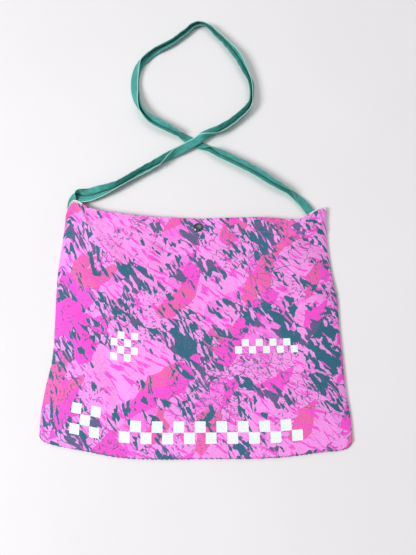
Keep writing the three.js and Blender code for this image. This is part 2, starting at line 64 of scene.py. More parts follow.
# Sizes shared with the part's source, in millimetres
BAG_WIDTH = 380.0
MOUTH_WIDTH = 358.0
BAG_HEIGHT = 307.0
CLOTH = 1.2
HEM_CLOTH = 2.0
HEM_DEPTH = 24.0
EAR_RISE = 27.0
SEAM_SAG = 20.0
BACK_DROP = 2.0
POCKET_DEPTH = 9.0
MOUTH_GAPE = 6.5
CLEAR = 0.3
TAPE_WIDTH = 12.0
TAPE_CLOTH = 0.9
TAPE_INSIDE = 0.8
STRAP_REACH = 330.0
CROSS_OPEN = 12.0
CAP_DIAMETER = 12.5
CAP_HEIGHT = 2.2
BACK_CAP_DIAMETER = 11.0
PLATE = 0.8
RIVET_DIAMETER = 3.4
SOCKET_HEIGHT = 2.4
BALL_HEIGHT = 2.0
SNAP_ASIDE = 1.0
SNAP_BELOW_HEM = 13.5
TAPE_THICK = 2 * TAPE_CLOTH + TAPE_INSIDE
STRAP_ROOM = TAPE_THICK + 2 * CLEAR
BACK_LIFT = PLATE + CLEAR
STUD_BASE = BACK_LIFT + HEM_CLOTH + CLEAR
SNAP_GAP = STUD_BASE + PLATE + CLEAR + SOCKET_HEIGHT + CLEAR - BACK_LIFT - HEM_CLOTH
CAP_BASE = BACK_LIFT + HEM_CLOTH + SNAP_GAP + HEM_CLOTH + CLEAR
CROSS_LIFT = TAPE_THICK + TAPE_WIDTH * math.sin(math.radians(CROSS_OPEN)) + CLEAR
OVER_STRAP = HEM_CLOTH + STRAP_ROOM + CLEAR
# How steeply the pocket swells from its side and bottom seams
SIDE_SWELL = 7
BOTTOM_SWELL = 9
# Where the pocket narrows to its mouth, and where its folds fade, in shares of the bag's height
MOUTH_NARROWS = (0.72, 1)
FOLDS_FADE = (0.9, 1.05)
# How near to the snap, the strap's ends or the hem its hold on the cloth is full, and where it ends
BACK_FLAT = (BACK_CAP_DIAMETER * 3, BACK_CAP_DIAMETER * 6)
SNAP_FLAT = (CAP_DIAMETER * 1.4, MOUTH_WIDTH * 0.27)
EAR_FLAT = (TAPE_WIDTH * 0.75, TAPE_WIDTH * 1.45)
HEM_FLAT = (HEM_DEPTH, HEM_DEPTH * 1.4)

# How many rows of the strap's route are sewn in at each end
SEWN_ROWS = 4

# Sizes of the finish alone, in millimetres
SEAM_ROUND = 0.9
STITCHES_BELOW_HEM = HEM_DEPTH - 2
RIVET_HOLE_RADIUS = 2.6
EDGE_SHARE = 1 - 2 * SEAM_ROUND / BAG_WIDTH
# Points nearer to each other than this are made one, in metres
MERGE = 1e-6
# The colour sockets of a mix node, which share their names with others
MIX_A, MIX_B, MIXED = 6, 7, 2

# The side seams: (up, left, right), how far each one stands out, in shares of half the width
SIDE_SEAMS = [
    (0, 0, -0.002), (0.09, 0.008, 0.002), (0.2, -0.002, -0.008), (0.32, -0.022, -0.007),
    (0.47, -0.01, -0.005), (0.6, 0.006, 0.003), (0.71, 0.015, -0.017), (0.82, 0.01, -0.024),
    (0.94, 0.006, -0.018), (1, 0, -0.004),
]
# The hem: (across, rise), in shares of the ears' rise
HEM_LINE = [
    (-1, 0.33), (-0.97, 0.85), (-0.95, 1.0), (-0.91, 0.93), (-0.86, 0.72), (-0.77, 0.47),
    (-0.6, 0.27), (-0.3, 0.08), (0, -0.01), (0.3, 0.03), (0.52, 0.04), (0.7, -0.05),
    (0.79, -0.02), (0.85, 0.22), (0.9, 0.42), (0.96, 0.63), (0.985, 0.6), (1, 0.33),
]
# The bottom seam: (across, rise), in shares of its sag
BOTTOM_LINE = [
    (-1, 1.3), (-0.965, 0.98), (-0.9, 0.78), (-0.69, 0.42), (-0.5, 0.1), (-0.3, -0.02),
    (0.1, 0), (0.5, 0.06), (0.82, 0.4), (0.955, 0.56), (1, 1.0),
]
# Ridges and creases of the front: (across, up, to across, to up, breadth, height)
FOLDS = [
    (-0.9, 0.94, -0.58, 0.78, 0.034, 0.3), (-0.55, 0.76, -0.16, 0.56, 0.05, 0.2),
    (-0.97, 0.68, -0.7, 0.47, 0.034, -0.28), (-0.92, 0.77, -0.54, 0.52, 0.042, 0.24),
    (-0.7, 0.47, -0.5, 0.22, 0.032, -0.26), (0.5, 0.66, 0.84, 0.64, 0.034, 0.3),
    (0.6, 0.6, 0.96, 0.53, 0.03, -0.34), (0.88, 0.9, 0.4, 0.74, 0.045, 0.22),
    (0.78, 0.97, 0.98, 0.86, 0.02, 0.3), (0.84, 0.88, 0.99, 0.8, 0.018, -0.3),
    (-0.3, 0.42, 0.25, 0.34, 0.07, 0.16), (0.2, 0.2, 0.72, 0.3, 0.05, 0.18),
    (-0.62, 0.08, -0.3, 0.2, 0.05, 0.16),
]
# Fine creases of the front's cloth near its ears: (across, up, to across, to up, breadth, height) in mm
CREASES = [
    (0.878, 0.918, 0.955, 0.945, 2.0, -1.1), (0.8, 0.968, 0.845, 0.952, 1.8, 1.2),
    (0.74, 0.93, 0.83, 0.975, 2.6, 1.1), (-0.975, 0.93, -0.915, 0.908, 1.8, 1.2),
    (-0.9, 0.985, -0.8, 0.9, 2.4, 1.2), (-0.86, 0.97, -0.77, 0.93, 2.2, -0.9),
]
# The strap's route: (across, up, twist, open) and, on the bag or on itself, (on panel, on tape)
STRAP_ROUTE = [
    (-0.945, 0.012, 0, 0, 1, 0), (-0.966, 0.045, 0, 0, 1, 0), (-0.966, 0.078, 0, 0, 1, 0),
    (-0.946, 0.098, -5, 30, 1, 0), (-0.92, 0.105, -13, 84, 1, 0), (-0.88, 0.104, -18, 122, 0.8, 0),
    (-0.83, 0.109, -24, 130, 0.4, 0), (-0.766, 0.125, -32, 104), (-0.715, 0.136, -46, 75),
    (-0.66, 0.15, -56, 58), (-0.615, 0.163, -62, 44), (-0.541, 0.188, -56, 42),
    (-0.464, 0.214, -48, 48), (-0.386, 0.24, -50, 50), (-0.309, 0.266, -64, 50, 0, 0.1),
    (-0.23, 0.29, -104, 30, 0, 0.3), (-0.153, 0.314, -150, 12, 0, 0.7),
    (-0.08, 0.338, -174, 6, 0, 1.02), (-0.014, 0.36, -172, 8, 0, 1.05),
    (0.05, 0.382, -114, 32, 0, 0.95), (0.111, 0.404, -74, 50, 0, 0.4), (0.183, 0.427, -58, 52, 0, 0.08),
    (0.271, 0.46, -56, 46), (0.325, 0.487, -60, 44), (0.384, 0.519, -65, 38), (0.426, 0.552, -82, 22),
    (0.442, 0.588, -98, 14), (0.446, 0.625, -107, 15), (0.439, 0.667, -114, 20),
    (0.404, 0.718, -103, 38), (0.374, 0.759, -94, 46), (0.343, 0.798, -91, 52), (0.297, 0.839, -99, 50),
    (0.25, 0.873, -108, 40), (0.199, 0.908, -112, 38), (0.139, 0.944, -116, 30), (0.1, 0.97, -121, 24),
    (0.053, 0.988, -126, 22), (-0.005, 0.992, -124, 26), (-0.057, 0.976, -116, 30),
    (-0.1, 0.949, -113, 36), (-0.156, 0.922, -114, 38), (-0.211, 0.894, -113, 36),
    (-0.27, 0.872, -113, 38), (-0.337, 0.849, -118, 44), (-0.372, 0.836, -119, 50),
    (-0.405, 0.818, -118, 54), (-0.459, 0.787, -116, 56), (-0.498, 0.755, -134, 34),
    (-0.521, 0.72, -154, 13), (-0.53, 0.68, -162, 8), (-0.526, 0.635, -158, 8),
    (-0.512, 0.591, -136, 9), (-0.486, 0.549, -104, 12), (-0.449, 0.515, -74, 28),
    (-0.386, 0.476, -53, 52), (-0.293, 0.445, -42, 62), (-0.182, 0.41, -34, 46),
    (-0.125, 0.392, -15, 25), (-0.085, 0.379, 0, CROSS_OPEN), (-0.04, 0.365, 0, CROSS_OPEN),
    (0.022, 0.347, 0, CROSS_OPEN), (0.1, 0.325, -22, 42), (0.16, 0.308, -34, 58),
    (0.234, 0.287, -35, 60), (0.384, 0.243, -36, 60), (0.494, 0.206, -37, 58), (0.571, 0.175, -37, 54),
    (0.647, 0.148, -35, 46), (0.723, 0.12, -25, 32, 0.1, 0), (0.785, 0.09, -10, 10, 0.6, 0),
    (0.83, 0.062, 0, 2, 1, 0), (0.87, 0.028, 0, 0, 1, 0), (0.896, -0.014, 0, 0, 1, 0),
]


def along(table: Sequence[Sequence[float]], at: float, column: int) -> float:
    """Smooth curve through a table's rows, keyed by their first column.

    Args:
        table: Rows in rising order of their first value.
        at: The key to read at.
        column: Which value of the rows to read.

    Returns:
        The column's value there.
    """
    last = len(table) - 1
    row = 0
    while row < last - 1 and table[row + 1][0] < at:
        row += 1
    before, start, end, after = (table[min(max(n, 0), last)] for n in range(row - 1, row + 3))
    span = end[0] - start[0]

    def slope(a: Sequence[float], b: Sequence[float]) -> float:
        """The rise between two rows over this span."""
        return (b[column] - a[column]) / ((b[0] - a[0]) or 1) * span

    t = min(max((at - start[0]) / span, 0.0), 1.0)
    t2, t3 = t * t, t * t * t
    return (
        (2 * t3 - 3 * t2 + 1) * start[column]
        + (t3 - 2 * t2 + t) * slope(before, end)
        + (3 * t2 - 2 * t3) * end[column]
        + (t3 - t2) * slope(start, after)
    )


def near(distance: float, full: float, none: float) -> float:
    """1 up to full, then smoothly down to 0 at none."""
    t = min(max((distance - full) / (none - full), 0.0), 1.0)
    return 1 - t * t * (3 - 2 * t)


def blend(a: float, b: float, share: float) -> float:
    """The value a share of the way from a to b."""
    return a + (b - a) * share


def off_segment(x: float, y: float, ends: Segment) -> float:
    """Distance from a point to a segment.

    Args:
        x: The point's place.
        y: The same, towards the hem.
        ends: The segment's ends (x0, y0, x1, y1).

    Returns:
        The distance.
    """
    x0, y0, x1, y1 = ends
    dx, dy = x1 - x0, y1 - y0
    share = min(max(((x - x0) * dx + (y - y0) * dy) / (dx * dx + dy * dy), 0.0), 1.0)
    return math.hypot(x - x0 - share * dx, y - y0 - share * dy)


def panel_point(across: float, up: float, hem_drop: float = 0.0) -> Pair:
    """Where a point of either panel lies, seen from above.

    Args:
        across: From the left seam (-1) to the right one (1).
        up: From the bottom seam (0) to the hem (1).
        hem_drop: How far this panel's hem lies below the front one.

    Returns:
        x and y in millimetres, from the middle of the bag's bottom.
    """
    straight = blend(BAG_WIDTH, MOUTH_WIDTH, up) / 2
    stand_out = along(SIDE_SEAMS, up, 1 if across < 0 else 2) * BAG_WIDTH / 2
    hem = BAG_HEIGHT - hem_drop + along(HEM_LINE, across, 1) * EAR_RISE
    bottom = along(BOTTOM_LINE, across, 1) * SEAM_SAG
    return across * (straight + stand_out), blend(bottom, hem, up)


def route_point(across: float, up: float) -> Pair:
    """A row of the strap's route, seen from above, in millimetres."""
    return across * MOUTH_WIDTH / 2, BAG_HEIGHT + up * STRAP_REACH


SNAP_AT = (SNAP_ASIDE, panel_point(0, 1)[1] - SNAP_BELOW_HEM)


def off_snap(x: float, y: float) -> float:
    """Distance from the snap's axis, seen from above."""
    return math.hypot(x - SNAP_AT[0], y - SNAP_AT[1])


def in_place(table: Sequence[Sequence[float]], breadth_unit: float, height_unit: float) -> list[Fold]:
    """Works out a table's folds in millimetres.

    Args:
        table: Rows of (across, up, to across, to up, breadth, height).
        breadth_unit: What the breadths are given in, in millimetres.
        height_unit: The same for the heights.

    Returns:
        The folds, each with its ends, its breadth and its height.
    """
    return [
        ((*panel_point(*row[:2]), *panel_point(*row[2:4])), row[4] * breadth_unit, row[5] * height_unit)
        for row in table
    ]


def folded(folds: Sequence[Fold], x: float, y: float) -> float:
    """How high the folds lift a point of the cloth, in millimetres."""
    offs = [(off_segment(x, y, ends) / breadth, height) for ends, breadth, height in folds]
    return sum(height * math.exp(-off * off) for off, height in offs)


def to_frame() -> Vector:
    """Finds the bag's own origin in the model's frame from the snap's place.

    Returns:
        The origin, in metres.
    """
    low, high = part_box("snap_cap")
    middle = (Vector(low) + Vector(high)) / 2
    return Vector((middle.x - SNAP_AT[0] / 1000, middle.y - SNAP_AT[1] / 1000, 0.0))


ORIGIN = to_frame()


def placed(x: float, y: float, z: float) -> Vector:
    """A point of the bag, given in millimetres, in the model's frame in metres."""
    return ORIGIN + Vector((x, y, z)) / 1000


class Side(Enum):
    """The two panels of the bag."""

    FRONT = "front"
    BACK = "back"


class Web:
    """Builds one material's node tree with short calls."""

    def __init__(self, name: str) -> None:
        """Starts an empty material with a Principled shader.

        Args:
            name: The material's name.
        """
        self.material = bpy.data.materials.new(name)
        self.material.use_nodes = True
        self.tree = self.material.node_tree
        self.tree.nodes.clear()
        self.shader = self.node("BsdfPrincipled")
        self.node("OutputMaterial", Surface=self.shader.outputs[0])

    def feed(self, socket: Socket, value: object) -> None:
        """Links a socket to another one, or sets it to a value.

        Args:
            socket: The input socket.
            value: An output socket, or the value.
        """
        if isinstance(value, Socket):
            self.tree.links.new(value, socket)
        else:
            socket.default_value = value

    def node(self, kind: str, **inputs: object) -> bpy.types.ShaderNode:
        """Adds a node and feeds its inputs by their names.

        Args:
            kind: The node's type, without its prefix.
            inputs: Sockets or values for its inputs.

        Returns:
            The node.
        """
        node = self.tree.nodes.new(f"ShaderNode{kind}")
        for name, value in inputs.items():
            self.feed(node.inputs[name], value)
        return node

    def surface(self, values: dict[str, object]) -> Material:
        """Feeds the shader's inputs by their names.

        Args:
            values: Sockets or values, by the inputs' names.

        Returns:
            The finished material.
        """
        for name, value in values.items():
            self.feed(self.shader.inputs[name], value)
        return self.material

    def uv(self) -> Socket:
        """The piece's own UV coordinates, in metres of cloth."""
        return self.node("TexCoord").outputs["UV"]

    def object_space(self) -> Socket:
        """Object coordinates, in metres."""
        return self.node("TexCoord").outputs["Object"]

    def mapped(
        self, vector: Socket, turn: float = 0.0, scale: Triple = (1, 1, 1), move: Triple = (0, 0, 0)
    ) -> Socket:
        """Turns coordinates, stretches them and then moves them.

        Args:
            vector: The coordinates.
            turn: The angle about their third axis, in degrees.
            scale: How much they are stretched along each axis.
            move: How far they are moved.

        Returns:
            The new coordinates.
        """
        turned = self.node("VectorRotate", Vector=vector, Angle=math.radians(turn))
        turned.rotation_type = "Z_AXIS"
        return self.node("Mapping", Vector=turned.outputs[0], Scale=scale, Location=move).outputs[0]

    def noise(self, vector: Socket, scale: float, detail: float, colour: bool = False) -> Socket:
        """Smooth noise, as a value or as three of them."""
        node = self.node("TexNoise", Vector=vector, Scale=scale, Detail=detail)
        return node.outputs[1 if colour else 0]

    def cells(self, vector: Socket, scale: float, measure: str = "EUCLIDEAN", edges: bool = False) -> Socket:
        """Flat cells: a random colour for each one, or the distance to their edges.

        Args:
            vector: The coordinates.
            scale: How many cells there are to a metre.
            measure: How distance is measured, which shapes the cells.
            edges: Whether the distance to their edges is given.

        Returns:
            The colour or the distance.
        """
        node = self.node("TexVoronoi", Vector=vector, Scale=scale)
        node.voronoi_dimensions = "2D"
        node.feature = "DISTANCE_TO_EDGE" if edges else "F1"
        if not edges:
            node.distance = measure
        return node.outputs["Distance" if edges else "Color"]

    def shards(self, vector: Socket, turn: float, slim: float, scale: float, measure: str) -> list[Socket]:
        """Three random values for each of many slim cells, turned by degrees."""
        return self.split(self.cells(self.mapped(vector, turn, (1, slim, 1)), scale, measure))

    def split(self, vector: Socket) -> list[Socket]:
        """The three parts of a vector or colour."""
        return list(self.node("SeparateXYZ", Vector=vector).outputs)

    def step(self, kind: str, operation: str, *values: object) -> Socket:
        """One step of arithmetic.

        Args:
            kind: Math for numbers, or VectorMath for vectors.
            operation: What is worked out.
            values: Sockets or values for its inputs.

        Returns:
            The result.
        """
        node = self.node(kind)
        node.operation = operation
        for socket, value in zip(node.inputs, values):
            self.feed(socket, value)
        return node.outputs[0]

    def math(self, operation: str, *values: object) -> Socket:
        """One step of arithmetic with numbers."""
        return self.step("Math", operation, *values)

    def times(self, a: object, b: object) -> Socket:
        """The product of two values."""
        return self.math("MULTIPLY", a, b)

    def above(self, value: object, limit: object) -> Socket:
        """1 where a value is above a limit, and else 0."""
        return self.math("GREATER_THAN", value, limit)

    def below(self, value: object, limit: object) -> Socket:
        """1 where a value is below a limit, and else 0."""
        return self.math("LESS_THAN", value, limit)

    def shift(self, vector: Socket, by: Socket, much: float) -> Socket:
        """Moves coordinates by noise of three values, up to much in metres."""
        centred = self.step("VectorMath", "SUBTRACT", by, (0.5, 0.5, 0.5))
        return self.step("VectorMath", "MULTIPLY_ADD", centred, (2 * much, 2 * much, 2 * much), vector)

    def mix(self, share: object, a: object, b: object, kind: str = "MIX") -> Socket:
        """Mixes two colours.

        Args:
            share: How much of the second one is taken.
            a: The first colour.
            b: The second colour.
            kind: The blend's type.

        Returns:
            The mixed colour.
        """
        node = self.node("Mix", Factor=share)
        node.data_type = "RGBA"
        node.blend_type = kind
        self.feed(node.inputs[MIX_A], a)
        self.feed(node.inputs[MIX_B], b)
        return node.outputs[MIXED]

    def ramp(self, value: Socket, stops: Sequence[tuple[float, Colour]], steps: bool = False) -> Socket:
        """A colour for each value.

        Args:
            value: The value, from 0 to 1.
            stops: Positions in rising order, each with its colour.
            steps: Whether the colours change in steps and aren't blended.

        Returns:
            The colour.
        """
        node = self.node("ValToRGB", Fac=value)
        node.color_ramp.interpolation = "CONSTANT" if steps else "LINEAR"
        elements = node.color_ramp.elements
        while len(elements) < len(stops):
            elements.new(1.0)
        for element, (position, colour) in zip(elements, stops):
            element.position = position
            element.color = colour
        return node.outputs[0]

    def darkened(self, colour: Socket, value: Socket, span: Pair, dark: Colour, share: float) -> Socket:
        """Darkens a colour by a share of a shade, fully where a value is low and not where it's high."""
        shade = self.ramp(value, [(span[0], dark), (span[1], (1, 1, 1, 1))])
        return self.mix(share, colour, shade, "MULTIPLY")

    def between(self, value: Socket, low: float, high: float) -> Socket:
        """0 up to low, 1 from high on, and smooth in between.

        Args:
            value: The value that is read.
            low: Where the result leaves 0.
            high: Where it reaches 1.

        Returns:
            The result.
        """
        node = self.node("MapRange", Value=value, **{"From Min": low, "From Max": high})
        node.interpolation_type = "SMOOTHSTEP"
        return node.outputs[0]

    def bump(self, height: Socket, distance: float, strength: float) -> None:
        """Gives the shader a bump of a height, in metres at full value."""
        node = self.node("Bump", Strength=strength, Distance=distance, Height=height)
        self.feed(self.shader.inputs["Normal"], node.outputs[0])


def tint(red: int, green: int, blue: int) -> Colour:
    """A colour given as it is seen on a screen, for a shader's socket.

    Args:
        red: Its red, from 0 to 255.
        green: Its green.
        blue: Its blue.

    Returns:
        The colour, linear and opaque.
    """

    def linear(value: int) -> float:
        """One channel."""
        share = value / 255
        return share / 12.92 if share <= 0.04045 else ((share + 0.055) / 1.055) ** 2.4

    return linear(red), linear(green), linear(blue), 1.0


@dataclass(frozen=True)
class PrintedCloth:
    """Plain-woven cloth with an all-over splintered print and blocks of white checks, in metres."""

    light: Colour = tint(250, 153, 236)
    soft: Colour = tint(250, 128, 229)
    hot: Colour = tint(251, 84, 213)
    coral: Colour = tint(238, 104, 176)
    teal: Colour = tint(50, 106, 130)
    slate: Colour = tint(98, 98, 138)
    white: Colour = tint(236, 252, 247)
    unprinted: Colour = tint(243, 196, 226)
    thread: float = 0.00055
    edge_band: float = 0.0019
    # Blocks of checks: (left, right, low, high, side of a square)
    checks: tuple[tuple[float, float, float, float, float], ...] = (
        (-0.092, 0.129, 0.018, 0.044, 0.013),
        (-0.152, -0.116, 0.018, 0.054, 0.012),
        (-0.112, -0.076, 0.112, 0.148, 0.009),
        (0.050, 0.131, 0.124, 0.142, 0.009),
    )

    def print_colour(self, web: Web, cloth: Socket) -> Socket:
        """The splintered print.

        Args:
            web: The material's nodes.
            cloth: Coordinates on the cloth, in metres.

        Returns:
            Its colour.
        """
        bent = web.shift(cloth, web.noise(cloth, scale=15, detail=1, colour=True), much=0.009)
        jagged = web.shift(bent, web.noise(cloth, scale=190, detail=3, colour=True), much=0.0014)
        long_shards = web.shards(jagged, turn=36, slim=2.9, scale=33, measure="MANHATTAN")
        broad_shards = web.shards(jagged, turn=-50, slim=2.0, scale=22, measure="CHEBYCHEV")
        splinters = web.shards(jagged, turn=62, slim=3.4, scale=96, measure="MANHATTAN")
        clusters = web.noise(web.mapped(cloth, 20, (1, 1.4, 1), (0.31, 0.17, 0)), scale=13, detail=1.5)
        pinks = web.ramp(
            broad_shards[0],
            [(0, self.light), (0.36, self.hot), (0.44, self.light), (0.62, self.soft),
             (0.78, self.coral), (0.92, self.hot)],
            steps=True,
        )
        streaks = web.noise(web.mapped(jagged, 32, (1, 5, 1)), scale=46, detail=3)
        pinks = web.mix(web.between(streaks, 0.55, 0.6), pinks, self.hot)
        dark = web.mix(web.above(broad_shards[1], 0.5), self.teal, self.slate)
        weight = web.math("MULTIPLY_ADD", web.math("SUBTRACT", clusters, 0.5), 2.6, long_shards[0])
        is_dark = web.above(weight, 0.83)
        colour = web.mix(is_dark, pinks, dark)
        slashes = web.noise(web.mapped(bent, 52, (1, 9, 1), (0.4, 0.9, 0)), scale=34, detail=1)
        colour = web.mix(web.above(slashes, 0.68), colour, self.hot)
        restless = web.math("COMPARE", weight, 0.9, 0.42)
        chipped = web.times(restless, web.above(splinters[0], 0.7))
        chips = web.mix(is_dark, self.teal, self.light)
        colour = web.mix(chipped, colour, chips)
        lozenges = web.cells(web.mapped(bent, 38, (1, 2.2, 1)), scale=60, edges=True)
        outlined = web.below(lozenges, web.math("MULTIPLY_ADD", streaks, 0.1, -0.022))
        fields = web.noise(web.mapped(cloth, 0, move=(0.7, 0.2, 0)), scale=12, detail=1)
        colour = web.mix(web.times(outlined, web.above(fields, 0.55)), colour, self.teal)
        dots = web.above(web.noise(jagged, scale=300, detail=1), 0.61)
        dotted = web.times(dots, web.above(broad_shards[2], 0.7))
        colour = web.mix(web.times(dotted, 0.75), colour, self.slate)
        on_edge = web.below(web.split(cloth)[1], self.edge_band)
        dashes = web.times(on_edge, web.above(web.noise(cloth, scale=280, detail=0), 0.53))
        return web.mix(dashes, colour, self.teal)

    def check_share(self, web: Web, cloth: Socket) -> Socket:
        """Where the white checks are.

        Args:
            web: The material's nodes.
            cloth: Coordinates on the cloth, in metres.

        Returns:
            1 on a check, and else 0.
        """
        across, up, _ = web.split(cloth)
        share: Socket | None = None
        for left, right, low, high, square in self.checks:
            inside = web.times(
                web.math("COMPARE", across, (left + right) / 2, (right - left) / 2),
                web.math("COMPARE", up, (low + high) / 2, (high - low) / 2),
            )
            column = web.math("FLOOR", web.math("DIVIDE", web.math("SUBTRACT", across, left), square))
            row = web.math("FLOOR", web.math("DIVIDE", web.math("SUBTRACT", up, low), square))
            odd = web.math("PINGPONG", web.math("ADD", column, row), 1.0)
            block = web.times(inside, web.below(odd, 0.5))
            share = block if share is None else web.math("MAXIMUM", share, block)
        return share

    def weave(self, web: Web, cloth: Socket) -> Socket:
        """The height of the plain weave, with a little slub.

        Args:
            web: The material's nodes.
            cloth: Coordinates on the cloth, in metres.

        Returns:
            The height, for a bump.
        """
        across, up, _ = web.split(cloth)
        pace = math.pi / self.thread
        warp = web.math("SINE", web.times(across, pace))
        weft = web.math("SINE", web.times(up, pace))
        slub = web.noise(web.mapped(cloth, 0, (1, 6, 1)), scale=420, detail=2)
        return web.math("MULTIPLY_ADD", web.times(warp, weft), 0.5, slub)

    def make(self, name: str, inside: bool) -> Material:
        """The cloth's material.

        Args:
            name: The material's name.
            inside: Whether it is the cloth's wrong side, where the print only shows through.

        Returns:
            The material.
        """
        web = Web(name)
        cloth = web.uv()
        colour = self.print_colour(web, cloth)
        if inside:
            colour = web.mix(0.62, colour, self.unprinted)
        else:
            colour = web.mix(self.check_share(web, cloth), colour, self.white)
        speckle = web.noise(cloth, scale=640, detail=2)
        colour = web.darkened(colour, speckle, span=(0.32, 0.6), dark=(0.7, 0.7, 0.7, 1), share=0.8)
        wear = web.noise(cloth, scale=26, detail=4)
        colour = web.darkened(colour, wear, span=(0.35, 0.65), dark=(0.9, 0.9, 0.9, 1), share=0.6)
        web.bump(self.weave(web, cloth), distance=0.0001, strength=0.45)
        return web.surface({
            "Base Color": colour,
            "Roughness": web.math("MULTIPLY_ADD", wear, 0.14, 0.76),
            "Specular IOR Level": 0.25,
            "Sheen Weight": 0.12,
            "Sheen Roughness": 0.4,
        })


@dataclass(frozen=True)
class CottonTape:
    """Twill-woven cotton tape with pale edges, in metres, or in shares of its unfolded width."""

    face: Colour = tint(76, 168, 160)
    shaded: Colour = tint(56, 142, 134)
    pale: Colour = tint(168, 226, 214)
    # Painted light: the inside is the same cloth as the face, but its colour is lighter to lift the shade
    # that falls inside the folded tape.
    inner_painted_light: Colour = tint(88, 186, 177)
    width: float = 2 * TAPE_WIDTH / 1000
    edge: float = 0.045
    fray: float = 0.03
    rib: float = 0.0009
    threads: int = 34

    def make(self, name: str, inside: bool) -> Material:
        """The tape's material, which reads across and along the tape from its UV map.

        Args:
            name: The material's name.
            inside: Whether it is the tape's inside, which is painted lighter to lift the shade that falls
                inside the fold.

        Returns:
            The material.
        """
        web = Web(name)
        across, length, _ = web.split(web.uv())
        stretched = web.mapped(web.uv(), 0, (self.width, 1, 1))
        streaks = web.noise(web.mapped(stretched, 0, (14, 1, 1)), scale=90, detail=3)
        patches = web.noise(stretched, scale=34, detail=3)
        # The inside takes its lighter colour here: painted light against the shade inside the fold.
        body = self.inner_painted_light if inside else self.face
        colour = web.mix(web.between(streaks, 0.38, 0.66), self.shaded, body)
        colour = web.darkened(colour, patches, span=(0.3, 0.7), dark=(0.86, 0.88, 0.88, 1), share=0.8)
        rough_edge = web.noise(stretched, scale=900, detail=2)
        fray = web.math("MULTIPLY_ADD", rough_edge, self.fray, self.edge - self.fray / 2)
        colour = web.mix(web.times(web.below(across, fray), 0.85), colour, self.pale)
        slant = web.math("MULTIPLY_ADD", across, self.width, length)
        ribs = web.math("SINE", web.times(slant, 2 * math.pi / self.rib))
        threads = web.math("SINE", web.times(across, 2 * math.pi * self.threads))
        twill = web.math("MULTIPLY_ADD", ribs, 0.5, web.times(threads, 0.4))
        fuzz = web.noise(stretched, scale=1300, detail=2)
        colour = web.darkened(colour, fuzz, span=(0.3, 0.7), dark=(0.84, 0.84, 0.84, 1), share=0.75)
        web.bump(web.math("ADD", twill, streaks), distance=0.00012, strength=0.5)
        return web.surface({
            "Base Color": colour,
            "Roughness": web.math("MULTIPLY_ADD", patches, 0.16, 0.7),
            "Specular IOR Level": 0.3,
            "Sheen Weight": 0.2,
            "Sheen Roughness": 0.4,
        })


@dataclass(frozen=True)
class Gunmetal:
    """Blackened pressed metal, with rubbed spots and fine scratches."""

    metal: Colour = tint(92, 98, 104)
    rubbed: Colour = tint(138, 142, 146)

    def make(self, name: str) -> Material:
        """The metal's material.

        Args:
            name: The material's name.

        Returns:
            The material.
        """
        web = Web(name)
        place = web.object_space()
        rub = web.noise(place, scale=380, detail=4)
        scratches = web.noise(web.mapped(place, 30, (1, 14, 1)), scale=700, detail=2)
        web.bump(scratches, distance=0.00003, strength=0.3)
        return web.surface({
            "Base Color": web.mix(web.between(rub, 0.5, 0.75), self.metal, self.rubbed),
            "Metallic": 1.0,
            "Roughness": web.math("MULTIPLY_ADD", scratches, 0.2, 0.14),
        })


@dataclass(frozen=True)
class SewingThread:
    """Spun thread of one colour, with its twist."""

    colour: Colour
    dull: Colour

    def make(self, name: str) -> Material:
        """The thread's material.

        Args:
            name: The material's name.

        Returns:
            The material.
        """
        web = Web(name)
        place = web.object_space()
        fuzz = web.noise(place, scale=1500, detail=2)
        twist = web.noise(web.mapped(place, 45, (1, 5, 1)), scale=2400, detail=1)
        web.bump(twist, distance=0.00006, strength=0.5)
        return web.surface({
            "Base Color": web.mix(web.between(fuzz, 0.35, 0.65), self.dull, self.colour),
            "Roughness": web.math("MULTIPLY_ADD", fuzz, 0.2, 0.55),
            "Sheen Weight": 0.15,
        })


def shaped_grid(across: int, up: int, place: Callable[[int, int], Placed], flip: bool = False) -> Mesh:
    """A grid whose points are moved to their places.

    Args:
        across: Cells across.
        up: Cells up.
        place: Gives the place and the UV of a point from its column and row.
        flip: Whether its faces look the other way.

    Returns:
        The mesh, with its UV map.
    """
    mesh = bmesh.new()
    bmesh.ops.create_grid(mesh, x_segments=across, y_segments=up, size=1.0)
    uvs: dict[bmesh.types.BMVert, Pair] = {}
    for vert in mesh.verts:
        column = round((vert.co.x + 1) / 2 * across)
        row = round((vert.co.y + 1) / 2 * up)
        vert.co, uvs[vert] = place(column, row)
    layer = mesh.loops.layers.uv.new("cloth")
    for face in mesh.faces:
        face.smooth = True
        for loop in face.loops:
            loop[layer].uv = uvs[loop.vert]
    if flip:
        bmesh.ops.reverse_faces(mesh, faces=mesh.faces)
    return mesh


def linked(name: str, data: bpy.types.ID) -> Piece:
    """Makes an object of its data in the scene.

    Args:
        name: The object's name.
        data: Its mesh, lamp or camera.

    Returns:
        The object.
    """
    piece = bpy.data.objects.new(name, data)
    bpy.context.scene.collection.objects.link(piece)
    return piece


def as_object(mesh: Mesh, name: str, *materials: Material) -> Piece:
    """Makes an object of a finished mesh.

    Args:
        mesh: The mesh, which is freed.
        name: The piece's name.
        materials: Its materials.

    Returns:
        The object, at the origin.
    """
    data = bpy.data.meshes.new(name)
    mesh.to_mesh(data)
    mesh.free()
    piece = linked(name, data)
    for material in materials:
        data.materials.append(material)
    return piece


def thicken(piece: Piece, thickness: float) -> None:
    """Gives a sheet its thickness inwards, with its second material on the inside.

    Args:
        piece: The sheet.
        thickness: Its thickness, in millimetres.
    """
    wall = piece.modifiers.new("thickness", "SOLIDIFY")
    wall.thickness = thickness / 1000
    wall.offset = -1.0
    wall.use_even_offset = True
    wall.use_quality_normals = True
    wall.material_offset = 1


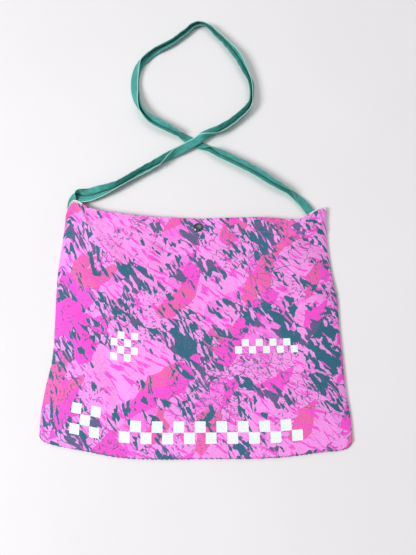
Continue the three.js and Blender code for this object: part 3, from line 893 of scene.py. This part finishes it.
@dataclass(frozen=True)
class Crumple:
    """Small unevenness of a panel's cloth: soft waves, creases, and puckers along the seams and the hem.

    Heights, sizes and reaches are in millimetres. The seed keeps the two panels apart.
    """

    seed: float
    creases: list[Fold]
    base: float = 0.6
    wave: float = 0.9
    wave_size: Pair = (46, 38)
    ripple: float = 0.42
    ripple_size: Pair = (15, 19)
    ripple_slant: float = 40
    ripple_seed: float = 4
    jitter: float = 2.2
    jitter_size: float = 20
    jitter_seed: float = 9
    pucker: float = 0.5
    pucker_reach: float = 8
    pucker_start: float = 1.5
    side_pitch: float = 1.25
    side_slant: float = 60
    bottom_pitch: float = 1.35
    dent: float = 0.4
    dent_reach: float = 1.6
    pull: float = 0.22
    pull_pitch: float = 1.1
    pull_reach: float = 5
    seam_reach: float = 5
    snap_reach: Pair = (9, 26)

    def puckered(self, distance: float, phase: float) -> float:
        """Height of the puckers at a distance from a seam."""
        swell = math.exp(-distance / self.pucker_reach) * (1 - math.exp(-distance / self.pucker_start))
        return self.pucker * (0.5 + 0.5 * math.sin(phase)) * swell

    def height(self, across: float, up: float, x: float, y: float) -> float:
        """How far the cloth rises at a point.

        Args:
            across: From the left seam (-1) to the right one (1).
            up: From the bottom seam (0) to the hem (1).
            x: The point's place.
            y: The same, towards the hem.

        Returns:
            The height, in millimetres.
        """
        long_wave = Vector((x / self.wave_size[0], y / self.wave_size[1], self.seed))
        slanted = x / self.ripple_size[0] + y / self.ripple_slant
        short_wave = Vector((slanted, y / self.ripple_size[1], self.seed + self.ripple_seed))
        waves = self.wave * (noise.noise(long_wave) + self.base)
        waves += self.ripple * (noise.noise(short_wave) + self.base)
        shaken = Vector((x / self.jitter_size, y / self.jitter_size, self.seed + self.jitter_seed))
        jitter = self.jitter * noise.noise(shaken)
        to_side = (1 - abs(across)) * BAG_WIDTH / 2
        to_bottom = up * BAG_HEIGHT
        puckers = self.puckered(to_side, y / self.side_pitch + jitter + x / self.side_slant)
        puckers += self.puckered(to_bottom, x / self.bottom_pitch + jitter)
        to_stitches = abs((1 - up) * BAG_HEIGHT - STITCHES_BELOW_HEM)
        sewn_in = -self.dent * math.exp(-((to_stitches / self.dent_reach) ** 2))
        pull = self.pull * math.sin(x / self.pull_pitch + jitter)
        sewn_in += pull * math.exp(-((to_stitches / self.pull_reach) ** 2))
        free = (1 - math.exp(-to_side / self.seam_reach)) * (1 - math.exp(-to_bottom / self.seam_reach))
        calm = 1 - near(off_snap(x, y), *self.snap_reach)
        return ((waves + folded(self.creases, x, y)) * free + puckers + sewn_in) * calm


@dataclass
class Panel:
    """One printed panel with its top hem turned in."""

    side: Side
    columns: int
    rows: int
    roll_rows: int = 5
    turned_rows: int = 9
    cloth: float = 0.92
    crowded: float = 0.35
    back_crumple: float = 0.35
    back_print: float = 0.7
    folds: list[Fold] = field(init=False)
    crumple: Crumple = field(init=False)
    strap_ends: list[Segment] = field(default_factory=list)

    def __post_init__(self) -> None:
        """Works out once where the folds, the creases and the strap's ends are."""
        self.folds = in_place(FOLDS, BAG_WIDTH, POCKET_DEPTH)
        if self.side is Side.FRONT:
            self.crumple = Crumple(seed=3.0, creases=in_place(CREASES, 1, 1))
        else:
            self.crumple = Crumple(seed=11.0, creases=[])
        for rows in (STRAP_ROUTE[:SEWN_ROWS], STRAP_ROUTE[-SEWN_ROWS:]):
            points = [route_point(row[0], row[1]) for row in rows]
            self.strap_ends.extend((*a, *b) for a, b in zip(points, points[1:]))

    @property
    def facing(self) -> float:
        """1 for the front panel, which faces up, and -1 for the back one."""
        return 1.0 if self.side is Side.FRONT else -1.0

    def back_under(self, x: float, y: float) -> float:
        """Height of the back panel's underside."""
        return BACK_LIFT * near(off_snap(x, y), *BACK_FLAT)

    def thickness(self, y: float, hem: float) -> float:
        """Thickness of a whole panel, with the hem's turned-in layer."""
        return blend(CLOTH, HEM_CLOTH, near(hem - y, *HEM_FLAT))

    def gape(self, across: float, up: float, x: float, y: float) -> float:
        """Clear height between the panels at a point.

        Args:
            across: From the left seam (-1) to the right one (1).
            up: From the bottom seam (0) to the hem (1).
            x: The point's place.
            y: The same, towards the hem.

        Returns:
            The height, in millimetres.
        """
        swell = (1 - abs(across) ** SIDE_SWELL) * (1 - (1 - up) ** BOTTOM_SWELL)
        depth = blend(MOUTH_GAPE, POCKET_DEPTH, near(up, *MOUTH_NARROWS))
        free = CLEAR + swell * (depth + folded(self.folds, x, y) * near(up, *FOLDS_FADE))
        return max(blend(free, SNAP_GAP, near(off_snap(x, y), *SNAP_FLAT)), CLEAR)

    def over_strap(self, x: float, y: float) -> float:
        """The lowest that the front panel may lie over the strap's sewn ends."""
        return OVER_STRAP * near(min(off_segment(x, y, ends) for ends in self.strap_ends), *EAR_FLAT)

    def outer(self, across: float, up: float, x: float, y: float) -> float:
        """Height of the panel's outer face at a point.

        Args:
            across: From the left seam (-1) to the right one (1).
            up: From the bottom seam (0) to the hem (1).
            x: The point's place.
            y: The same, towards the hem.

        Returns:
            The height, in millimetres.
        """
        crumple = self.crumple.height(across, up, x, y)
        if self.side is Side.BACK:
            return self.back_under(x, y) + self.back_crumple * max(crumple, 0)
        hem = panel_point(across, 1)[1]
        back_top = self.back_under(x, y) + self.thickness(y, hem - BACK_DROP)
        under = max(back_top + self.gape(across, up, x, y), self.over_strap(x, y))
        return under + self.thickness(y, hem) + crumple

    def place(self, column: int, row: int) -> Placed:
        """A point of the sheet, which goes up to the hem, over it and back down inside.

        Args:
            column: Its column, counted from the left.
            row: Its row, counted from the bottom seam.

        Returns:
            Its place and its UV, which is its place on the flat cloth in metres.
        """
        spread = column / self.columns * 2 - 1
        across = spread * (1 + self.crowded - self.crowded * spread * spread) * EDGE_SHARE
        roll = HEM_CLOTH / 2
        turned = row - self.rows
        beyond = max(turned - self.roll_rows, 0) / self.turned_rows * HEM_DEPTH
        up = blend(SEAM_ROUND / BAG_HEIGHT, 1 - roll / BAG_HEIGHT, min(row / self.rows, 1.0))
        up -= beyond / BAG_HEIGHT
        x, y = panel_point(across, up, BACK_DROP if self.side is Side.BACK else 0.0)
        height = self.outer(across, up, x, y)
        if turned > 0:
            angle = math.pi * min(turned / self.roll_rows, 1.0)
            y += roll * math.sin(angle)
            height -= self.facing * roll * (1 - math.cos(angle))
        flat_y = up * BAG_HEIGHT if turned <= 0 else BAG_HEIGHT + beyond
        start = 0.0 if self.side is Side.FRONT else self.back_print
        return placed(x, y, height), (self.facing * across * BAG_WIDTH / 2000 + start, flat_y / 1000)

    def build(self, outside: Material, inside: Material) -> Piece:
        """Builds the panel.

        Args:
            outside: The printed side's material.
            inside: The wrong side's material.

        Returns:
            The panel.
        """
        total = self.rows + self.roll_rows + self.turned_rows
        mesh = shaped_grid(self.columns, total, self.place, flip=self.side is Side.BACK)
        rivet = placed(*SNAP_AT, 0)
        hole = [
            face
            for face in mesh.faces
            if (face.calc_center_median().xy - rivet.xy).length < RIVET_HOLE_RADIUS / 1000
        ]
        bmesh.ops.delete(mesh, geom=hole, context="FACES")
        piece = as_object(mesh, f"{self.side.value}_cloth", outside, inside)
        thicken(piece, self.cloth)
        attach(piece, "root")
        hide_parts(f"{self.side.value}_panel")
        return piece


@dataclass
class SideSeam:
    """The rounded edge where the two panels are joined, down one side, along the bottom and up again."""

    panel: Panel
    below_hem: float = 1.2
    off_surface: float = 0.04
    below_face: float = 0.02
    side_steps: int = 150
    bottom_steps: int = 190
    round_steps: int = 8

    def outline(self) -> list[tuple[float, float, float, float, float]]:
        """Works out points of the seam, from one ear round to the other.

        Returns:
            For each its x and y, its place on the flat cloth and the panel's height there, in millimetres.
        """
        steps = [(-1.0, 1 - n / self.side_steps) for n in range(self.side_steps)]
        steps += [(-1 + 2 * n / self.bottom_steps, 0.0) for n in range(self.bottom_steps)]
        steps += [(1.0, n / self.side_steps) for n in range(self.side_steps + 1)]
        points = []
        for across, up in steps:
            edge = across * EDGE_SHARE
            low = blend(SEAM_ROUND / BAG_HEIGHT, 1 - self.below_hem / BAG_HEIGHT, up)
            x, y = panel_point(edge, low)
            top = self.panel.outer(edge, low, x, y)
            points.append((x, y, across * BAG_WIDTH / 2, up * BAG_HEIGHT, top))
        return points

    def build(self, cloth: Material) -> Piece:
        """Builds the seam's edge as a half-round strip, closed behind and at its ends.

        Args:
            cloth: Its material.

        Returns:
            The strip.
        """
        points = self.outline()
        last = len(points) - 1

        def place(column: int, row: int) -> Placed:
            """A point of the half-round, whose last row lies on its first one again.

            Args:
                column: Its column, along the seam.
                row: Its row, round the edge.

            Returns:
                Its place and its UV.
            """
            x, y, u, v, top = points[column]
            ahead = points[min(column + 1, last)]
            behind = points[max(column - 1, 0)]
            run = Vector((ahead[0] - behind[0], ahead[1] - behind[1])).normalized()
            angle = math.pi * (row % (self.round_steps + 1)) / self.round_steps - math.pi / 2
            out = SEAM_ROUND * math.cos(angle)
            low, high = self.off_surface, top - self.below_face
            height = (low + high) / 2 + (high - low) / 2 * math.sin(angle)
            return placed(x + run.y * out, y - run.x * out, height), (u / 1000, v / 1000)

        mesh = shaped_grid(last, self.round_steps + 1, place)
        bmesh.ops.remove_doubles(mesh, verts=mesh.verts, dist=MERGE)
        ends = [edge for edge in mesh.edges if edge.is_boundary]
        bmesh.ops.holes_fill(mesh, edges=ends, sides=0)
        bmesh.ops.recalc_face_normals(mesh, faces=mesh.faces)
        piece = as_object(mesh, "side_seam", cloth)
        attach(piece, "root")
        return piece


def sewn(mesh: Mesh, start: Vector, end: Vector, radius: float) -> None:
    """Adds one stitch between two points, as a slim rounded bit of thread.

    Args:
        mesh: The mesh that it is added to.
        start: Where it starts.
        end: Where it ends.
        radius: The thread's radius, in millimetres.
    """
    run = end - start
    turn = run.to_track_quat("Z", "Y").to_matrix().to_4x4()
    size = Matrix.Diagonal((radius / 1000, radius / 1000, run.length / 2, 1.0))
    matrix = Matrix.Translation((start + end) / 2) @ turn @ size
    bmesh.ops.create_uvsphere(mesh, u_segments=6, v_segments=5, radius=1.0, matrix=matrix)


def uneven(n: int, pace: float, seed: Pair) -> float:
    """Smooth noise from -1 to 1 for a stitch's number."""
    return noise.noise(Vector((n * pace, *seed)))


@dataclass
class Stitching:
    """Rows of thread on the front panel: along the hem, over the raw tops of the ears and at the bottom.

    Sizes are in millimetres. Where a row starts and ends is in shares of half the width.
    """

    panel: Panel
    hem_ends: Pair = (-0.975, 0.965)
    hem_pitch: float = 3.2
    hem_stitch: float = 2.3
    hem_radius: float = 0.27
    hem_lift: float = 0.12
    loop_pitch: float = 0.8
    loop_slant: float = 0.6
    loop_slants: int = 3
    loop_rough: float = 0.6
    loop_lift: float = 0.25
    loop_radius: float = 0.4
    top_inset: float = 0.35
    top_lift: float = 0.3
    over_inset: float = 0.2
    over_depth: float = HEM_CLOTH * 0.7
    over_out: float = 0.9
    over_radius: float = 0.34
    chain_run: float = 1.1
    chain_lift: float = 0.32
    chain_radius: float = 0.48
    bottom_ends: Pair = (-0.93, 0.95)
    bottom_length: Pair = (2.6, 2.4)
    bottom_space: Pair = (3.4, 2.6)
    bottom_out: float = 0.6
    bottom_height: float = 2.42
    bottom_radius: float = 0.45

    def on_front(self, across: float, below_hem: float, lift: float) -> Vector:
        """A point on the front panel's outer face.

        Args:
            across: From the left seam (-1) to the right one (1).
            below_hem: How far it is below the hem, in millimetres.
            lift: How far it is above the face, in millimetres.

        Returns:
            The point.
        """
        up = 1 - below_hem / BAG_HEIGHT
        x, y = panel_point(across, up)
        return placed(x, y, self.panel.outer(across, up, x, y) + lift)

    def finished(self, mesh: Mesh, name: str, thread: Material) -> Piece:
        """Makes a piece of the stitches.

        Args:
            mesh: The stitches' mesh, which is freed.
            name: The piece's name.
            thread: Its material.

        Returns:
            The piece.
        """
        for face in mesh.faces:
            face.smooth = True
        piece = as_object(mesh, name, thread)
        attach(piece, "root")
        return piece

    def hem_row(self, thread: Material) -> Piece:
        """The row of stitches that holds the turned-in hem.

        Args:
            thread: Their material.

        Returns:
            The piece.
        """
        mesh = bmesh.new()
        half = MOUTH_WIDTH / 2
        at = half * self.hem_ends[0]
        while at < half * self.hem_ends[1]:
            start, end = (
                self.on_front(x / half, STITCHES_BELOW_HEM, self.hem_lift)
                for x in (at, at + self.hem_stitch)
            )
            sewn(mesh, start, end, self.hem_radius)
            at += self.hem_pitch
        return self.finished(mesh, "hem_stitches", thread)

    def ear_row(self, name: str, start: float, end: float, depth: float, thread: Material) -> Piece:
        """Overlocked thread over the top of an ear.

        Args:
            name: The piece's name.
            start: Where it begins, across the mouth.
            end: Where it ends.
            depth: How far its loops reach below the hem, in millimetres.
            thread: Its material.

        Returns:
            The piece.
        """
        mesh = bmesh.new()
        half = MOUTH_WIDTH / 2
        count = round((end - start) * half / self.loop_pitch)
        step = self.loop_slant / half
        for n in range(count):
            across = blend(start, end, n / count)
            rough = 1 + self.loop_rough * uneven(n, pace=0.73, seed=(5.0, 1.0))
            low = self.on_front(across + step * (n % self.loop_slants), depth * rough, self.loop_lift)
            high = self.on_front(across, self.top_inset, self.top_lift)
            over = self.on_front(across + step, self.over_inset, -self.over_depth)
            over.y += self.over_out / 1000
            chain = self.on_front(across + self.chain_run / half, self.over_inset, self.chain_lift)
            sewn(mesh, low, high, self.loop_radius)
            sewn(mesh, high, over, self.over_radius)
            sewn(mesh, high, chain, self.chain_radius)
        return self.finished(mesh, name, thread)

    def bottom_row(self, thread: Material) -> Piece:
        """Bits of thread that show along the rounded bottom edge.

        Args:
            thread: Their material.

        Returns:
            The piece.
        """
        mesh = bmesh.new()
        half = BAG_WIDTH / 2
        at = half * self.bottom_ends[0]
        n = 0
        while at < half * self.bottom_ends[1]:
            longer = uneven(n, pace=0.37, seed=(1.0, 4.0))
            wider = uneven(n, pace=0.61, seed=(7.0, 2.0))
            length = self.bottom_length[0] + self.bottom_length[1] * longer
            ends = []
            for along_edge in (at, at + length):
                x, y = panel_point(along_edge / half, SEAM_ROUND / BAG_HEIGHT)
                ends.append(placed(x, y - self.bottom_out, self.bottom_height))
            sewn(mesh, ends[0], ends[1], self.bottom_radius)
            at += length + self.bottom_space[0] + self.bottom_space[1] * wider
            n += 1
        return self.finished(mesh, "bottom_thread", thread)


@dataclass(frozen=True)
class Station:
    """One place along the strap, with its section's points (to the left, up), in millimetres."""

    x: float
    y: float
    way: Vector
    run: float
    section: list[Pair]

    def point(self, row: int) -> Vector:
        """A point of the section, in the model's frame."""
        aside, above = self.section[row]
        return placed(self.x - self.way.y * aside, self.y + self.way.x * aside, above)


@dataclass
class Strap:
    """The tape strap, folded in half lengthwise, in one loop that crosses itself.

    The sway of its twist and the flutter of its opening are in degrees, with the run in millimetres that
    they change over. They fade where its opening is in the span named still.
    """

    steps: int = 620
    leaf_steps: int = 12
    fold_steps: int = 6
    fine_steps: int = 20
    way_step: float = 0.05
    leaf: float = 0.78
    flare: float = 1.2
    flare_starts: Pair = (0.04, 0.4)
    sway: Pair = (5, 17)
    flutter: Pair = (9, 8)
    still: Pair = (13, 30)

    def leaf_line(self, spread: float, side: float) -> list[Pair]:
        """One leaf's outer face from the fold to its free edge, closed at the fold and flared beyond it.

        Args:
            spread: The angle between the leaves, in radians.
            side: 1 for the upper leaf and -1 for the lower one.

        Returns:
            Points (a, b) of the section.
        """
        half = TAPE_THICK / 2
        step = (TAPE_WIDTH - half) / self.leaf_steps
        a, b = TAPE_WIDTH / 2 - half, half * side
        points = []
        for n in range(self.leaf_steps):
            share = (n + 0.5) / self.leaf_steps
            angle = side * spread / 2 * self.flare * (1 - near(share, *self.flare_starts))
            a -= step * math.cos(angle)
            b += step * math.sin(angle)
            points.append((a, b))
        return points

    def section(self, spread: float) -> list[Pair]:
        """The section from the lower leaf's free edge, round the fold, to the upper leaf's.

        Args:
            spread: The angle between the leaves, in radians.

        Returns:
            Points (a, b) of the section.
        """
        half = TAPE_THICK / 2
        fold = TAPE_WIDTH / 2 - half
        points = list(reversed(self.leaf_line(spread, -1.0)))
        for n in range(self.fold_steps + 1):
            angle = math.pi * n / self.fold_steps - math.pi / 2
            points.append((fold + half * math.cos(angle), half * math.sin(angle)))
        return points + self.leaf_line(spread, 1.0)

    def seen(self, twist: float, spread: float) -> list[Pair]:
        """The section, opened and turned.

        Args:
            twist: The turn of its open side, in radians.
            spread: The angle between the leaves, in radians.

        Returns:
            Its points (to the left, up).
        """
        turn = twist - spread / 2
        cos, sin = math.cos(turn), math.sin(turn)
        return [(a * cos - b * sin, a * sin + b * cos) for a, b in self.section(spread)]

    def stations(self) -> list[Station]:
        """Takes even steps along the route.

        Returns:
            The stations, each with its section turned, opened and laid at its height.
        """
        rows = [(n, *row, 0, 0)[:7] for n, row in enumerate(STRAP_ROUTE)]
        last = len(rows) - 1

        def spot(n: float) -> Pair:
            """The route's place at a row's number."""
            return route_point(along(rows, n, 1), along(rows, n, 2))

        fine = [n / self.fine_steps for n in range(self.fine_steps * last + 1)]
        points = [spot(n) for n in fine]
        runs = [0.0]
        for a, b in zip(points, points[1:]):
            runs.append(runs[-1] + math.dist(a, b))
        found = []
        for step in range(self.steps + 1):
            run = runs[-1] * step / self.steps
            near_by = min(max(bisect.bisect_left(runs, run), 1), len(runs) - 1)
            span = runs[near_by] - runs[near_by - 1]
            n = blend(fine[near_by - 1], fine[near_by], (run - runs[near_by - 1]) / span)
            ahead = Vector(spot(min(n + self.way_step, last)))
            behind = Vector(spot(max(n - self.way_step, 0)))
            on_panel = min(max(along(rows, n, 5), 0.0), 1.0)
            on_tape = max(along(rows, n, 6), 0.0)
            opening = max(along(rows, n, 4), 0.0)
            calm = 1 - max(on_panel, min(on_tape, 1.0), near(opening, *self.still))
            sway = self.sway[0] * noise.noise(Vector((run / self.sway[1], 2.0, 7.0))) * calm
            flutter = self.flutter[0] * noise.noise(Vector((run / self.flutter[1], 6.0, 1.0))) * calm
            seen = self.seen(
                math.radians(along(rows, n, 3) + sway),
                math.radians(max(opening + flutter, 0.0)),
            )
            lowest = on_panel * (HEM_CLOTH + CLEAR) + on_tape * CROSS_LIFT
            found.append(self.settled(spot(n), (ahead - behind).normalized(), run, seen, lowest))
        return found

    def settled(self, at: Pair, way: Vector, run: float, seen: list[Pair], lowest: float) -> Station:
        """Lays a section so that it is centred on its route as the camera sees it.

        Args:
            at: The route's place.
            way: The route's direction.
            run: The length of strap up to here.
            seen: The section's points (to the left, up).
            lowest: The height of its lowest point.

        Returns:
            The station.
        """
        x, y = at
        over = Studio.beside
        aside = (over[0] * 1000 - x) * -way.y + (over[1] * 1000 - y) * way.x
        lean = aside / (Studio.height * 1000)
        asides = [left - above * lean for left, above in seen]
        centre = (min(asides) + max(asides)) / 2
        rise = lowest - min(above for _, above in seen)
        return Station(x, y, way, run, [(left - centre, above + rise) for left, above in seen])

    def build(self, outside: Material, inside: Material) -> Piece:
        """Builds the strap.

        Args:
            outside: The tape's face.
            inside: The side that is folded in.

        Returns:
            The strap.
        """
        stations = self.stations()
        points = len(stations[0].section) - 1

        def place(column: int, row: int) -> Placed:
            """A point of the strap, with its share across the tape and its run in metres as UV."""
            station = stations[column]
            return station.point(row), (row / points, station.run / 1000)

        mesh = shaped_grid(self.steps, points, place, flip=True)
        piece = as_object(mesh, "tape_strap", outside, inside)
        thicken(piece, self.leaf)
        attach(piece, "root")
        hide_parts("strap")
        return piece


@dataclass
class SnapFastener:
    """The snap that holds the mouth: the caps are turned here, the two inner parts are the CAD's."""

    steps: int = 72
    dome_share: float = 0.84
    dome_drop: float = 1.15
    valley: Pair = (0.845, 0.75)
    rim_share: float = 0.08
    rim_rise: float = 0.52
    sharp_angle: float = 42.0
    # The rear cap's dish: (share of its radius, height)
    dish: tuple[Pair, ...] = (
        (0, 0.28), (0.3, 0.26), (0.5, 0.12), (0.62, 0.02), (0.8, 0),
        (0.95, 0.1), (1, 0.4), (0.95, 0.7), (0.86, PLATE),
    )

    def turned_piece(self, name: str, profile: Sequence[Pair], metal: Material) -> Piece:
        """Spins a half outline about the snap's axis.

        Args:
            name: The piece's name.
            profile: (radius, height) pairs in millimetres, from the axis and back to it.
            metal: Its material.

        Returns:
            The piece.
        """
        mesh = bmesh.new()
        verts = [mesh.verts.new(placed(SNAP_AT[0] + radius, SNAP_AT[1], z)) for radius, z in profile]
        edges = [mesh.edges.new(pair) for pair in zip(verts, verts[1:])]
        bmesh.ops.spin(
            mesh, geom=verts + edges, cent=placed(*SNAP_AT, 0), axis=(0, 0, 1),
            angle=2 * math.pi, steps=self.steps, use_merge=True,
        )
        bmesh.ops.remove_doubles(mesh, verts=mesh.verts, dist=MERGE)
        bmesh.ops.recalc_face_normals(mesh, faces=mesh.faces)
        for face in mesh.faces:
            face.smooth = True
        piece = as_object(mesh, name, metal)
        piece.data.set_sharp_from_angle(angle=math.radians(self.sharp_angle))
        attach(piece, "root")
        return piece

    def front_cap(self, metal: Material) -> Piece:
        """The domed cap with its rolled rim and its shank.

        Args:
            metal: Its material.

        Returns:
            The cap.
        """
        rim, rivet = CAP_DIAMETER / 2, RIVET_DIAMETER / 2
        shank_end = STUD_BASE + PLATE + BALL_HEIGHT + CLEAR
        profile = []
        for degrees in range(0, 91, 9):
            angle = math.radians(degrees)
            drop = self.dome_drop * (1 - math.cos(angle))
            profile.append((rim * self.dome_share * math.sin(angle), CAP_BASE + CAP_HEIGHT - drop))
        profile.append((rim * self.valley[0], CAP_BASE + self.valley[1]))
        for degrees in range(-60, 181, 30):
            angle = math.radians(degrees)
            radius = rim * (1 - self.rim_share) + rim * self.rim_share * math.sin(angle)
            profile.append((radius, CAP_BASE + self.rim_rise + self.rim_rise * math.cos(angle)))
        profile += [(rivet, CAP_BASE), (rivet, shank_end), (0, shank_end)]
        piece = self.turned_piece("snap_dome", profile, metal)
        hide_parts("snap_cap")
        return piece

    def rear_cap(self, metal: Material) -> Piece:
        """The flat cap under the back hem, with a shallow dish and its shank.

        Args:
            metal: Its material.

        Returns:
            The cap.
        """
        rivet = RIVET_DIAMETER / 2
        shank_end = STUD_BASE + PLATE + BALL_HEIGHT - PLATE / 2 - CLEAR
        profile = [(BACK_CAP_DIAMETER / 2 * share, height) for share, height in self.dish]
        profile += [(rivet, PLATE), (rivet, shank_end), (0, shank_end)]
        piece = self.turned_piece("snap_rear", profile, metal)
        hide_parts("snap_rear_cap")
        return piece

    def build(self, metal: Material) -> list[Piece]:
        """Builds the caps and gives the CAD's socket and stud their metal.

        Args:
            metal: The material.

        Returns:
            The caps.
        """
        for node in ("snap_socket", "snap_stud"):
            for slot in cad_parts[node].material_slots:
                slot.material = metal
        return [self.front_cap(metal), self.rear_cap(metal)]


@dataclass(frozen=True)
class Lamp:
    """A soft square lamp that looks at the bag."""

    name: str
    at: Triple
    size: float
    power: float
    look_at: Triple = (0, -0.05, 0)

    def hang(self) -> None:
        """Hangs the lamp in its place."""
        data = bpy.data.lights.new(self.name, "AREA")
        data.shape = "SQUARE"
        data.size = self.size
        data.energy = self.power
        lamp = linked(self.name, data)
        lamp.location = self.at
        look = Vector(self.look_at) - Vector(self.at)
        lamp.rotation_euler = look.to_track_quat("-Z", "Y").to_euler()


@dataclass
class Studio:
    """The pale floor, the soft light and the camera, in metres and degrees."""

    lens: float = 29.19
    height: float = 0.579
    beside: Pair = (0.0147, 0.0709)
    tilt: float = 15.0
    floor_size: float = 3.0
    sky: float = 0.45
    lamps: tuple[Lamp, ...] = (
        Lamp("key", (-2.0, -0.7, 1.7), size=1.0, power=72),
        Lamp("fill", (0.5, 0.7, 1.3), size=1.2, power=5),
    )

    def floor(self) -> None:
        """A plain pale floor."""
        mesh = bmesh.new()
        bmesh.ops.create_grid(mesh, x_segments=2, y_segments=2, size=self.floor_size)
        web = Web("pale_floor")
        grain = web.noise(web.object_space(), scale=5, detail=2)
        pale = web.mix(grain, tint(221, 219, 221), tint(227, 225, 227))
        web.surface({"Base Color": pale, "Roughness": 0.9, "Specular IOR Level": 0.1})
        as_object(mesh, "floor", web.material)

    def camera(self) -> None:
        """The camera at the photograph's angle, above the floor."""
        data = bpy.data.cameras.new("camera")
        data.lens = self.lens
        data.sensor_width = 36.0
        data.clip_start = 0.01
        camera = linked("camera", data)
        side, up = self.beside
        camera.location = (ORIGIN.x + side, ORIGIN.y + up, self.height)
        camera.rotation_euler = (math.radians(self.tilt), 0, 0)
        bpy.context.scene.camera = camera

    def build(self) -> None:
        """Sets up the floor, the lamps, the sky and the camera."""
        self.camera()
        self.floor()
        for lamp in self.lamps:
            lamp.hang()
        world = bpy.data.worlds.new("studio")
        world.use_nodes = True
        sky = world.node_tree.nodes["Background"]
        sky.inputs["Color"].default_value = (1, 1, 1, 1)
        sky.inputs["Strength"].default_value = self.sky
        bpy.context.scene.world = world
        bpy.context.scene.view_settings.view_transform = "Standard"


def main() -> None:
    """Builds the camera, the bag's pieces and the light."""
    logging.basicConfig(level=logging.INFO, format="%(message)s")
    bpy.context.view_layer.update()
    Studio().build()
    cloth = PrintedCloth()
    printed = cloth.make("printed_cloth", inside=False)
    wrong_side = cloth.make("cloth_inside", inside=True)
    tape = CottonTape()
    tape_face = tape.make("tape", inside=False)
    # The tape's inside material is painted lighter, to lift the shade inside the fold.
    tape_inside_painted_light = tape.make("tape_inside_painted_light", inside=True)
    metal = Gunmetal().make("gunmetal")
    pink_thread = SewingThread(tint(240, 110, 205), tint(196, 70, 160)).make("pink_thread")
    white_thread = SewingThread(tint(253, 252, 253), tint(228, 224, 228)).make("white_thread")

    front = Panel(Side.FRONT, columns=200, rows=150)
    back = Panel(Side.BACK, columns=130, rows=100)
    front_cloth = front.build(printed, wrong_side)
    back_cloth = back.build(printed, wrong_side)
    seam = SideSeam(front).build(printed)
    stitching = Stitching(front)
    hem = stitching.hem_row(pink_thread)
    ears = [
        stitching.ear_row("left_ear_thread", start=-0.98, end=-0.88, depth=3.6, thread=white_thread),
        stitching.ear_row("right_ear_thread", start=0.86, end=0.99, depth=1.8, thread=white_thread),
    ]
    bottom = stitching.bottom_row(white_thread)
    strap = Strap().build(tape_face, tape_inside_painted_light)
    caps = SnapFastener().build(metal)
    for piece in [front_cloth, back_cloth, seam, hem, bottom, *ears, strap, *caps]:
        log.info("%s: %d faces", piece.name, len(piece.data.polygons))


if __name__ == "__main__":
    main()
